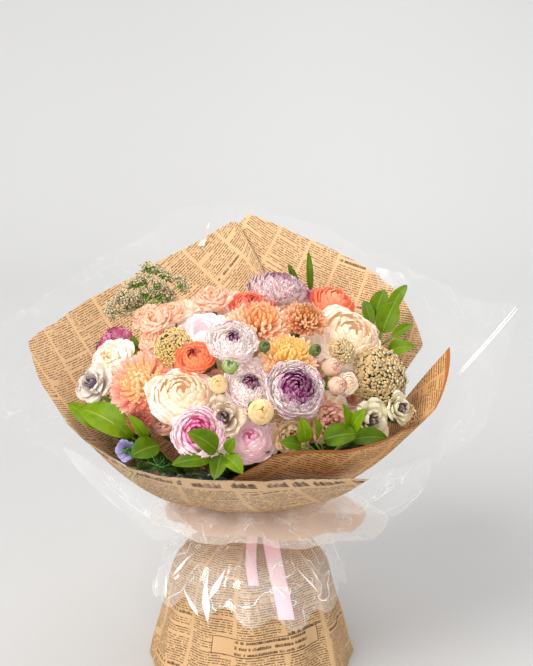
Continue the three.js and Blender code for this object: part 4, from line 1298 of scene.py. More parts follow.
@dataclass
class Flowers:
    """All the blooms, each in place of its CAD node; sizes are in mm."""

    kit: "Kit"
    small_bead: float = 1.55
    large_bead: float = 1.95
    large_cluster: float = 30.0
    fork_radius: float = 2.4
    stalk_radius: float = 1.4
    small_places: int = 420
    small_depth: float = 0.8
    small_bloom: float = 20.0
    least_room: float = 4.0
    seats: list[tuple[Array, float]] = field(default_factory=list)

    def __post_init__(self) -> None:
        """Makes the blooms' materials once."""
        self.materials = {name: finish.material() for name, finish in FINISHES.items()}
        self.beads = BeadFinish("rice_beads", 0xE4D8B8, 0xC08C28, 0x76623C).material()
        self.gold_beads = BeadFinish("golden_beads", 0xEAD6A0, 0xC8982E, 0x8A8248).material()
        self.stamens = StemFinish("dark_stamens", 0x20161E, 0x5A4A3A, 900.0, 0.8).material()
        self.sepals = LeafFinish("sepals", 0x6E9A3C, 0xA8C46C, 0.5).material()
        self.twigs = StemFinish("twig_green", 0x4F7A2A, 0x86A84C, 300.0).material()
        self.husks = StemFinish("floret_stalks", 0x5E5230, 0x94885A, 300.0).material()
        self.mould = Mould.floret()

    def placed(self, node: str, foot: float) -> tuple[Array, Array, float]:
        """Where a CAD bloom is.

        Args:
            node: The bloom's CAD node.
            foot: Its lowest point in units of its radius.

        Returns:
            Its middle, the direction it looks in, and its radius, in mm about the tie's axis.
        """
        points = self.kit.points(node)
        place = points.mean(0)
        for _ in range(4):
            out = outward(place)
            flat = points - points.mean(0)
            flat -= np.outer(flat @ out, out)
            radius = np.linalg.norm(flat, axis=1).max()
            low = (points @ out).min()
            place = points.mean(0) + out * (low - foot * radius - points.mean(0) @ out)
        return place, out, radius

    def bloom(self, node: str, kind: Kind, seed: int) -> None:
        """Dresses one CAD bloom.

        Args:
            node: Its CAD node.
            kind: How it is dressed.
            seed: Its random seed.
        """
        place, out, radius = self.placed(node, kind.foot)
        place = place + kind.shift
        self.seats.append((place, radius))
        out = leaning(out, kind.lean, kind.rise, kind.side)
        bloom = Bloom(kind.form, place, out, radius * kind.size, seed)
        batch = Batch()
        bloom.add_to(batch)
        self.kit.put(batch, f"petals_{node}", self.materials[kind.finish], node)
        if kind.form is Form.OPEN:
            hearts = Batch()
            bloom.heart(hearts, self.mould)
            self.kit.put(hearts, f"stamens_{node}", self.stamens, node)
        if kind.form in (Form.BUD, Form.ROSE, Form.HALF_OPEN, Form.RANUNCULUS):
            self.calyx(node, node, bloom)

    def calyx(self, name: str, node: str, bloom: Bloom) -> None:
        """Adds the green sepals under a bloom.

        Args:
            name: What the piece's name ends in.
            node: The bloom's CAD node.
            bloom: The bloom.
        """
        batch = Batch()
        bud = bloom.form is Form.BUD
        rim, height, end, foot = (0.84, -0.12, 12, -0.9) if bud else (0.62, -0.34, 70, -0.56)
        ring = PetalRing(5, rim, height, 90, end, base=0.1, foot=foot, cover=0.9, blunt=1.6, waist=0.7,
                         tone=0.8)
        points, uv, lucks = bloom.petals(ring, np.random.default_rng(bloom.seed + 9))
        batch.shell(bloom.turned(points), 0.5, uv, np.full(len(points), 0.8), lucks)
        self.kit.put(batch, f"sepals_{name}", self.sepals, node)

    def cluster(self, node: str, seed: int) -> None:
        """Dresses a cluster: a dome of small round florets on fine stalks.

        Args:
            node: Its CAD node.
            seed: Its random seed.
        """
        place, out, radius = self.placed(node, -0.5)
        right, up, size = CLUSTERS[node]
        place, radius = place + [right, 0.0, up], radius * size
        self.seats.append((place, radius))
        out = leaning(out, 0.55)
        luck = np.random.default_rng(seed)
        bead = self.large_bead if radius > self.large_cluster else self.small_bead
        count = int(1.75 * (radius / bead) ** 2)
        polar, azimuth = spiral(count, 1.12)
        lumps = 1 + 0.05 * np.sin(azimuth * 4 + polar * 6)[:, None] + luck.normal(0, 0.03, (count, 1))
        unit = ray(polar, azimuth) + luck.normal(0, 0.35, (count, 3)) * bead / radius
        bloom = Bloom(Form.CLUSTER, place, out, radius, seed)
        places = bloom.turned(unit * np.array([0.94, 0.94, 0.5]) * lumps)
        ups = places - bloom.turned(np.array([[0, 0, -0.6]]))
        ups /= np.linalg.norm(ups, axis=1, keepdims=True)
        sizes = bead * luck.uniform(0.8, 1.15, count)
        batch = Batch()
        batch.copies(self.mould, places, ups, sizes, luck.uniform(0, 1, count))
        beads = self.gold_beads if node.endswith("yellow") else self.beads
        self.kit.put(batch, f"florets_{node}", beads, node)
        stalks = Batch()
        foot = bloom.turned(np.array([[0, 0, -0.5]]))[0]
        for point in places[::5]:
            bend = (foot * 0.45 + point * 0.55) - out * radius * 0.06
            stalks.tube(np.array([foot, bend, point]), 0.6, 4)
        self.kit.put(stalks, f"stalks_{node}", self.husks, node)

    def branch(self, node: str, fork: Floats, kinds: dict[Form, Sequence[tuple]], seed: int) -> None:
        """Dresses a branch that carries several blooms.

        Args:
            node: Its CAD node.
            fork: Where its stalks part.
            kinds: Its heads by kind, as finish, place and radius.
            seed: Its random seed.
        """
        by_finish: dict[str, Batch] = {}
        stalks = Batch()
        start = np.array(fork, float)
        up = unit_of(start - [0, 0, TIE_HEIGHT])
        stalks.tube(np.array([start - up * 8, start]), self.fork_radius)
        heads = [(form, *head) for form, group in kinds.items() for head in group]
        for n, (form, finish, place, radius) in enumerate(heads):
            middle = np.array(place, float)
            out = outward(middle)
            self.seats.append((middle, float(radius)))
            bloom = Bloom(form, middle, out, float(radius), seed + n, coarse=node.endswith("_back"))
            bloom.add_to(by_finish.setdefault(finish, Batch()))
            if node == "spray_rose_blush":
                self.calyx(f"{node}_{n + 1}", node, bloom)
            seat = middle - out * 0.5 * radius
            stalks.tube(bezier(start, start + up * 12, seat - out * 10, seat), self.stalk_radius)
        for finish, batch in by_finish.items():
            self.kit.put(batch, f"petals_{node}_{finish}", self.materials[finish], node)
        self.kit.put(stalks, f"stalks_{node}", self.twigs, node)

    def between_blooms(self) -> None:
        """Adds the smaller blooms that stand lower, wherever the large ones leave room."""
        luck = np.random.default_rng(90)
        taken = list(self.seats)
        by_finish: dict[str, Batch] = {}
        for k, (polar, azimuth) in enumerate(zip(*spiral(self.small_places, 1.05))):
            place = DOME_MIDDLE + ray(polar, azimuth) * DOME_REACH * self.small_depth
            room = min(np.linalg.norm(place - seat) - size for seat, size in taken)
            if room < self.least_room:
                continue
            radius = min(room + 10.0, self.small_bloom)
            taken.append((place, radius * 0.8))
            form = (Form.RUFFLED, Form.HALF_OPEN, Form.SILKY)[k % 3]
            bloom = Bloom(form, place, outward(place), radius, 700 + k, coarse=True)
            finish = SMALL_FINISHES[int(luck.integers(len(SMALL_FINISHES)))]
            bloom.add_to(by_finish.setdefault(finish, Batch()))
        for finish, batch in by_finish.items():
            name = f"small_blooms_{finish}"
            self.kit.put(batch, name, self.materials[finish], None, "lisianthus_spray_inner")

    def build(self) -> None:
        """Builds every bloom, cluster and branch."""
        for seed, (node, kind) in enumerate(KINDS.items()):
            self.bloom(node, kind, 11 + seed * 7)
        for seed, node in enumerate(CLUSTERS):
            self.cluster(node, 301 + seed)
        for seed, (node, (fork, kinds)) in enumerate(BRANCHES.items()):
            self.branch(node, fork, kinds, 401 + seed * 11)
        self.between_blooms()
        log.info("flowers built")


# Foliage


def bezier(a: Array, b: Array, c: Array, d: Array, steps: int = 7) -> Array:
    """Points along a curve from a to d, pulled to b and c."""
    t = np.linspace(0, 1, steps)[:, None]
    return (1 - t) ** 3 * a + 3 * (1 - t) ** 2 * t * b + 3 * (1 - t) * t ** 2 * c + t ** 3 * d


TO_FRONT = (0, -0.7, 0.7)
TO_RIGHT = (0.5, -0.6, 0.6)
TO_LEFT = (-0.5, -0.6, 0.6)
TO_BACK = (0, 0.5, 0.8)

# Leafy sprays: the fork, then each leaf's base, tip and width, and its direction where not to the front
SPRAYS = {
    "ruscus_left": ((-112, -86, 276), (
        ((-124, -104, 298), (-183, -68, 320), 32, (-0.1, -0.6, 0.8)),
        ((-122, -112, 300), (-140, -118, 322), 13, TO_LEFT),
        ((-152, -76, 298), (-197, -52, 318), 19, TO_LEFT),
        ((-94, -130, 298), (-122, -144, 292), 25),
        ((-106, -124, 302), (-124, -126, 330), 12))),
    "ruscus_front": ((-28, -142, 280), (
        ((-32, -168, 306), (-60, -180, 331), 23),
        ((-36, -168, 298), (-78, -174, 294), 18),
        ((-28, -166, 300), (-34, -190, 284), 17), ((-24, -166, 300), (-6, -186, 289), 17),
        ((-22, -166, 304), (-14, -168, 320), 12))),
    "ruscus_low_right": ((78, -118, 276), (
        ((58, -142, 306), (54, -154, 336), 16), ((68, -140, 306), (68, -152, 336), 11, TO_RIGHT),
        ((76, -138, 307), (112, -134, 313), 25), ((54, -148, 303), (32, -158, 312), 15),
        ((100, -122, 306), (98, -132, 344), 14, TO_RIGHT), ((104, -120, 308), (119, -130, 338), 17),
        ((106, -118, 300), (146, -106, 298), 20))),
    "ruscus_high_right": ((136, 40, 344), (
        ((136, 44, 376), (130, 76, 400), 13), ((140, 60, 380), (153, 86, 410), 20),
        ((154, 62, 384), (180, 96, 414), 14), ((148, 40, 370), (164, 56, 404), 25),
        ((158, 30, 368), (184, 46, 380), 11), ((152, 8, 358), (180, -4, 368), 20))),
    "ruscus_back": ((64, 134, 366), (
        ((70, 142, 392), (68, 160, 438), 8), ((56, 142, 390), (44, 152, 424), 9),
        ((48, 148, 368), (14, 170, 378), 20, TO_BACK), ((92, 136, 364), (118, 144, 374), 18, TO_BACK))),
    "ruscus_back_left": ((-122, 80, 310), (
        ((-138, 94, 328), (-146, 116, 350), 20, TO_BACK), ((-146, 76, 328), (-178, 78, 350), 20, TO_BACK),
        ((-122, 104, 322), (-108, 132, 340), 18, TO_BACK))),
}

OPEN_SPRAY_FOOT = (-120, 34, 368)
OPEN_SPRAY_FORK = (-122, 48, 392)
OPEN_SPRAY_TIPS = ((-132, 68, 424), (-114, 80, 438), (-96, 78, 430), (-148, 56, 412), (-158, 38, 396),
                   (-136, 44, 412), (-76, 68, 422), (-104, 58, 426), (-118, 62, 412), (-131, 52, 402),
                   (-101, 64, 410), (-143, 46, 400), (-90, 64, 408), (-124, 66, 428))
NEEDLE_TWIGS = (((-84, -122, 264), (-94, -150, 284)), ((-104, -104, 272), (-126, -134, 296)),
                ((-96, -110, 268), (-118, -140, 276)))


@dataclass
class Foliage:
    """Leafy sprays, feathery greens, the open spray and the foliage between the blooms; sizes are in mm."""

    kit: "Kit"
    fork_radius: float = 2.4
    stalk_radius: float = 1.1
    leaf_fullness: float = 1.06
    needles: int = 48
    head_twigs: int = 26
    inner_leaves: int = 90
    paper_leaves: int = 74

    def __post_init__(self) -> None:
        """Makes the foliage's materials."""
        self.leaf = LeafFinish("ruscus_leaf", 0x2E5800, 0x7E9A00, 0.42).material()
        # The inner leaves' darker greens are painted shade: a shaded copy of the leaf finish.
        self.dark = LeafFinish("inner_leaf_painted_shade", 0x1F4410, 0x4C7420, 0.45).material()
        self.twig = StemFinish("spray_twig", 0x5C8A2A, 0x94B85A, 300.0).material()
        self.needle = StemFinish("needle_leaf", 0x2C5E22, 0x4F8A34, 300.0).material()
        self.florets = BeadFinish("spray_florets", 0xE2D2B2, 0xB48C6C, 0x84904E).material()
        self.mould = Mould.floret(5, 3)

    @staticmethod
    def blade(batch: Batch, base: Floats, tip: Floats, width: float, face: Floats,
              luck: float, cells: tuple[int, int] = (12, 7)) -> None:
        """Adds one leaf blade with a folded midrib and a soft wave.

        Args:
            batch: Where it is added.
            base: The leaf's base.
            tip: Its tip.
            width: Its width, in mm.
            face: The direction its face looks in.
            luck: Its random number.
            cells: Points along and across.
        """
        base, tip, face = np.array(base, float), np.array(tip, float), np.array(face, float)
        run = tip - base
        size = np.linalg.norm(run)
        across = unit_of(np.cross(face, run))
        up = unit_of(np.cross(run, across))
        t = np.linspace(0, 1, cells[0])
        u = np.linspace(-1, 1, cells[1])
        half = width * 0.5 * np.clip(2.42 * t ** 0.55 * (1 - t) ** 0.75, 0.02, None)
        lift = size * (0.1 * np.sin(math.pi * t) - 0.05 * t ** 3)
        side = u[None] * half[:, None]
        wave = 0.03 * width * np.sin(7 * t[:, None] + 9 * luck) * u[None] ** 2 * np.sign(u[None] + 0.01)
        points = (base + t[:, None, None] * run + side[..., None] * across
                  + (lift[:, None] + 0.3 * np.abs(side) + wave)[..., None] * up)
        batch.shell(points[None], 0.7, stacked((u[None] + 1) / 2, t[:, None])[None], 0.5, luck)

    def spray(self, node: str, fork: Floats, leaves: Sequence[tuple], seed: int) -> None:
        """Dresses one leafy spray.

        Args:
            node: Its CAD node.
            fork: Where its stalks part.
            leaves: Its leaves, as base, tip, width and face.
            seed: Its random seed.
        """
        luck = np.random.default_rng(seed)
        blades, stalks = Batch(), Batch()
        start = np.array(fork, float)
        up = unit_of(start - [0, 0, TIE_HEIGHT])
        stalks.tube(np.array([start - up * 8, start + up * 2]), self.fork_radius)
        for base, tip, width, *face in leaves:
            look = face[0] if face else TO_FRONT
            self.blade(blades, base, tip, width * self.leaf_fullness, look, luck.uniform())
            foot = np.array(base, float)
            run = np.array(tip, float) - foot
            path = bezier(start, start + up * 12, foot - run * 0.2, foot + run * 0.04)
            stalks.tube(path, self.stalk_radius)
        self.kit.put(blades, f"leaves_{node}", self.leaf, node)
        self.kit.put(stalks, f"twigs_{node}", self.twig, node)

    def feathers(self) -> None:
        """Dresses the feathery green: many soft needles round each twig."""
        luck = np.random.default_rng(61)
        batch = Batch()
        for start, end in NEEDLE_TWIGS:
            first, last = np.array(start, float), np.array(end, float)
            run = last - first
            up = unit_of(run)
            batch.tube(np.array([first, last]), self.stalk_radius)
            for k in range(self.needles):
                foot = first + run * (0.15 + 0.85 * k / self.needles)
                side = luck.normal(0, 1, 3)
                side = unit_of(side - up * (side @ up))
                reach = luck.uniform(7, 13)
                tip = foot + side * reach + up * reach * 0.8
                batch.tube(np.array([foot, (foot + tip) / 2 + up, tip]), np.array([0.6, 0.5, 0.25]), 4)
        self.kit.put(batch, "needles_front", self.needle, "needle_green_front")

    def open_spray(self) -> None:
        """Dresses the open spray: branches that fork into heads of tiny florets."""
        node = "open_spray_green"
        luck = np.random.default_rng(77)
        twigs, heads = Batch(), Batch()
        foot, fork = np.array(OPEN_SPRAY_FOOT, float), np.array(OPEN_SPRAY_FORK, float)
        twigs.tube(np.array([foot, (foot + fork) / 2, fork]), 1.8)
        for tip in OPEN_SPRAY_TIPS:
            end = np.array(tip, float)
            out = unit_of(end - fork)
            neck = end - out * 9
            twigs.tube(bezier(fork, fork + [0, 2, 10], neck - out * 6, neck), 0.95, 5)
            side = unit_of(np.cross(out, [0.2, 0.9, 0.1]))
            other = np.cross(out, side)
            for polar, azimuth in zip(*spiral(self.head_twigs, 0.6)):
                around = side * math.cos(azimuth) + other * math.sin(azimuth)
                up = out * math.cos(polar) + math.sin(polar) * around
                top = neck + up * luck.uniform(9, 13)
                twigs.tube(np.array([neck, top]), 0.4, 3)
                cloud = top + luck.normal(0, 1.9, (6, 3))
                sizes = luck.uniform(1.0, 1.6, 6)
                heads.copies(self.mould, cloud, np.repeat(up[None], 6, 0), sizes, luck.uniform(0, 1, 6))
        self.kit.put(heads, "florets_open_spray", self.florets, node)
        self.kit.put(twigs, "twigs_open_spray", self.twig, node)

    def inner(self) -> None:
        """Adds the leaves that stand between the stems, under the blooms, darkened with painted shade."""
        luck = np.random.default_rng(5)
        batch = Batch()
        for k in range(self.inner_leaves):
            azimuth = math.radians(k * GOLDEN_DEGREES % 360)
            share = luck.uniform(0.35, 0.74)
            height = luck.uniform(104, 176) - 70 * share
            flat = (math.cos(azimuth) * 150 * share, math.sin(azimuth) * 132 * share)
            base = np.array([*flat, TIE_HEIGHT + height])
            tip = base + (outward(base) * 0.8 + luck.normal(0, 0.4, 3)) * luck.uniform(22, 34)
            ends = np.array([base, tip])
            room = 6 + 190 * ((ends[:, 2] - TIE_HEIGHT - 16) / 230) ** FLARE
            through = (np.hypot(ends[:, 0], ends[:, 1]) > room).any()
            if through or np.linalg.norm((tip - DOME_MIDDLE) / DOME_REACH) > 0.9:
                continue
            width, face = luck.uniform(11, 17), luck.normal(0, 0.5, 3) + [0, -0.4, 0.8]
            self.blade(batch, base, tip, width, face, luck.uniform(), (8, 5))
        self.kit.put(batch, "leaves_between_blooms", self.dark, None, "ruscus_front")

    def along_the_paper(self) -> None:
        """Adds the leaves that stand low between the blooms and the front sheets, darkened with painted
        shade.
        """
        luck = np.random.default_rng(15)
        batch = Batch()
        sheets = [np.array(sheet.rim) for sheet in COLLARS[2:]]
        for k, degrees in enumerate(np.linspace(178, 356, self.paper_leaves)):
            rim = sheets[0] if degrees > 262 else sheets[1]
            reach = np.interp(max(degrees, 203), rim[:, 0], rim[:, 1])
            rise = np.interp(degrees, rim[:, 0], rim[:, 2])
            foot, top = luck.uniform(0.4, 0.6), luck.uniform(0.82, 0.98)
            ends = []
            for share, turn in ((foot, 0.0), (top, luck.normal(0, 5))):
                radius = (26 + (reach - 26) * share ** FLARE) * (0.84 - 0.05 * (k % 2))
                angle = math.radians(degrees + turn)
                height = TIE_HEIGHT + 14 + (rise - 14) * share
                ends.append((radius * math.cos(angle), radius * math.sin(angle), height))
            face = (-math.cos(math.radians(degrees)) * 0.4, -0.3, 0.8)
            self.blade(batch, *ends, luck.uniform(13, 20), face, luck.uniform(), (9, 5))
        self.kit.put(batch, "leaves_along_paper", self.dark, None, "ruscus_front")

    def build(self) -> None:
        """Builds all the foliage."""
        for seed, (node, (fork, leaves)) in enumerate(SPRAYS.items()):
            self.spray(node, fork, leaves, 21 + seed)
        self.feathers()
        self.open_spray()
        self.inner()
        self.along_the_paper()
        log.info("foliage built")


# Wrapper


def along(stops: Array, x: Array, column: int) -> Array:
    """A smooth curve through one column of a list of stops.

    Args:
        stops: Rows of stops, whose first column is the way along.
        x: Where it is read.
        column: The column that it follows.

    Returns:
        Its values.
    """
    xs, ys = stops[:, 0], stops[:, column]
    slope = np.gradient(ys, xs)
    n = np.clip(np.searchsorted(xs, x) - 1, 0, len(xs) - 2)
    span = xs[n + 1] - xs[n]
    t = np.clip((x - xs[n]) / span, 0, 1)
    return ((2 * t ** 3 - 3 * t ** 2 + 1) * ys[n] + (t ** 3 - 2 * t ** 2 + t) * span * slope[n]
            + (3 * t ** 2 - 2 * t ** 3) * ys[n + 1] + (t ** 3 - t ** 2) * span * slope[n + 1])


def ripple(x: Array, y: Array, seed: int, count: int = 7, low: float = 2.0,
           high: float = 11.0) -> Array:
    """A soft random relief from waves.

    Args:
        x: The first coordinate.
        y: The second one.
        seed: Its random seed.
        count: The number of waves.
        low: Their lowest frequency along x.
        high: The highest one.

    Returns:
        The relief, between about -1 and 1.
    """
    luck = np.random.default_rng(seed)
    total = np.zeros(np.broadcast(x, y).shape)
    for _ in range(count):
        total = total + np.sin(luck.uniform(low, high) * x + luck.uniform(-5, 5) * y + luck.uniform(0, 6.3))
    return total / math.sqrt(count)


@dataclass(frozen=True)
class CollarSheet:
    """One paper sheet of the collar: its rim stops are bearing, reach, rise and flare."""

    node: str
    neck: float
    start: float
    spread: float
    rim: tuple
    turn: float
    seed: int

    def add_to(self, batch: Batch) -> None:
        """Adds the sheet to a batch, with its print running round it.

        Args:
            batch: Where it is added.
        """
        stops = np.array(self.rim, float)
        start, end = stops[0, 0], stops[-1, 0]
        bearing = np.linspace(start, end, int((end - start) / 1.6) + 2)
        middle = (start + end) / 2
        share = np.concatenate([[0], np.linspace(0.06, 1, 34) ** 1.4])[:, None]
        reach, rise, flare = (np.interp(bearing, stops[:, 0], stops[:, k])[None] for k in (1, 2, 3))
        at_neck = middle + (bearing - middle) * self.spread
        angle = np.radians(at_neck + (bearing - at_neck) * share)
        radius = self.neck + (reach - self.neck) * share ** flare
        height = TIE_HEIGHT + self.start + (rise - self.start) * share
        foot = np.full((1, len(bearing)), TIE_HEIGHT - 10.0)
        angle = np.concatenate([np.radians(at_neck)[None], angle])
        radius = np.concatenate([np.full((1, len(bearing)), self.neck), radius])
        height = np.concatenate([foot, height])
        share = np.concatenate([[[0]], share])
        points = stacked(radius * np.cos(angle), radius * np.sin(angle), height)
        relief = ripple(angle, share * 2, self.seed) * 1.5 * share
        relief = relief + ripple(angle, share, self.seed + 1, 4, 14, 30) * 0.5 * share
        points = points + grid_normals(points) * relief[..., None]
        run = run_along(points)
        turn = np.radians(bearing - middle)[None] * 0.78
        x, y = run * np.sin(turn), run * np.cos(turn)
        c, s = math.cos(math.radians(self.turn)), math.sin(math.radians(self.turn))
        uv = stacked(x * c - y * s, x * s + y * c) + self.seed * 61.0
        batch.shell(points[None], PAPER_WALL, uv[None], np.broadcast_to(share, radius.shape)[None], 0.5)


COLLARS = (
    CollarSheet("collar_back_left", 22.2, 18.0, 1.25, (
        (82, 182, 196, FLARE), (86, 203, 231, FLARE), (95, 231, 288, FLARE), (109, 229, 259, FLARE),
        (131, 225, 228, FLARE), (160, 235, 202, FLARE), (177, 247, 196, FLARE), (188, 232, 166, FLARE),
        (200, 212, 138, FLARE), (212, 200, 122, FLARE)), 4.0, 3),
    CollarSheet("collar_back_right", 23.6, 16.3, 1.1, (
        (17, 206, 178, FLARE), (25, 209, 198, FLARE), (33, 212, 217, FLARE), (41, 216, 229, FLARE),
        (48, 219, 238, FLARE), (75, 230, 270, FLARE), (91, 242, 294, FLARE), (94, 239, 282, FLARE)), -6.0, 8),
    CollarSheet("collar_front_right", 24.9, 14.6, 1.25, (
        (265, 180, 109, FLARE), (270, 176, 118, FLARE), (278, 172, 130, FLARE), (289, 170, 131, FLARE),
        (300, 173, 129, FLARE), (311, 181, 128, FLARE), (323, 191, 131, FLARE), (333, 201, 135, RIGHT_FLARE),
        (341, 210, 148, RIGHT_FLARE), (351, 217, 173, RIGHT_FLARE), (363, 222, 191, RIGHT_FLARE)), 12.0, 5),
    CollarSheet("collar_front_left", 26.2, 13.0, 1.25, (
        (202, 213, 139, FULL), (211, 208, 132, FULL), (221, 203, 122, FULL), (231, 197, 111, FLARE),
        (245, 192, 108, FLARE), (259, 189, 109, FLARE), (273, 189, 109, FLARE), (287, 189, 108, FLARE),
        (301, 193, 105, FLARE), (309, 196, 99, FLARE)), 2.0, 12),
)

# Radii at heights, from the hem up, and rims as bearing, reach and rise above the tie
SKIRT_PROFILE = ((0, 116), (58, 99), (100, 90), (122, 83), (138, 66), (148, 44), (156, 28.4), (180, 27.6))
FLOUNCE_RIM = ((0, 158, -13), (45, 138, -4), (90, 126, 2), (135, 120, 2), (180, 114, -2), (214, 118, 9),
               (234, 122, 11), (271, 126, 12), (309, 136, 4), (340, 149, -8), (360, 158, -13))
FRINGE_PROFILE = ((86, 104), (118, 95), (136, 80), (148, 58), (159, 32), (183.2, 29.0))
FILM_RIM = ((3, 292, 236), (20, 262, 232), (33, 246, 242), (60, 252, 264), (95, 258, 304), (104, 256, 304),
            (130, 252, 260), (155, 262, 226), (177, 272, 212), (190, 276, 170), (205, 272, 150),
            (216, 250, 134), (237, 224, 128), (260, 214, 127), (285, 214, 127), (304, 228, 126),
            (320, 246, 124), (336, 264, 146), (350, 280, 200), (363, 292, 236))

# Loose wings of film: the near and the far pair of corners, and the bow to the right
FILM_WINGS = ((((70, -88, 204), (160, -50, 184)), ((97, -100, 238), (204, -32, 248)), 14.0),
              (((-50, -92, 178), (-112, -48, 162)), ((-88, -110, 226), (-204, -22, 262)), -8.0))
FILM_PATCH = (((148, 112, 404), (182, 96, 412)), ((144, 118, 428), (176, 104, 424)))
# The film's tip at the top, drawn as a painted highlight
FILM_TIP = (((-66, 214, 431), (-58, 215, 431)), ((-58, 214, 446), (-53, 215, 446)),
            ((-52, 214, 460), (-51, 215, 460)))
# Painted highlights on the folds of the hanging film: bearing, swing, top, lowest point and half width
FILM_SHARDS = ((240, 6, 134, 84, 5), (226, 14, 112, 88, 4), (218, -4, 142, 118, 3), (252, -6, 138, 110, 4),
               (284, 12, 128, 100, 1.6), (296, -8, 120, 92, 2.4), (304, 10, 136, 108, 1.6),
               (206, 6, 116, 92, 3))
# The ribbon's two tails and its loop: the points of each, its width and the direction of its width
RIBBON_LENGTHS = (
    (((18, -37, 170), (22, -48, 160), (27, -70, 140), (35, -98, 112), (40, -108, 89)), 18.0, (1, 0, 0)),
    (((6, -37, 170), (2, -48, 160), (1, -72, 142), (4, -90, 121)), 12.0, (1, 0, 0)),
    (((14, -38, 170), (20, -46, 173), (32, -52, 171), (44, -54, 165), (34, -48, 162), (20, -40, 164)),
     13.2, (0.3, -0.2, 0.93)))


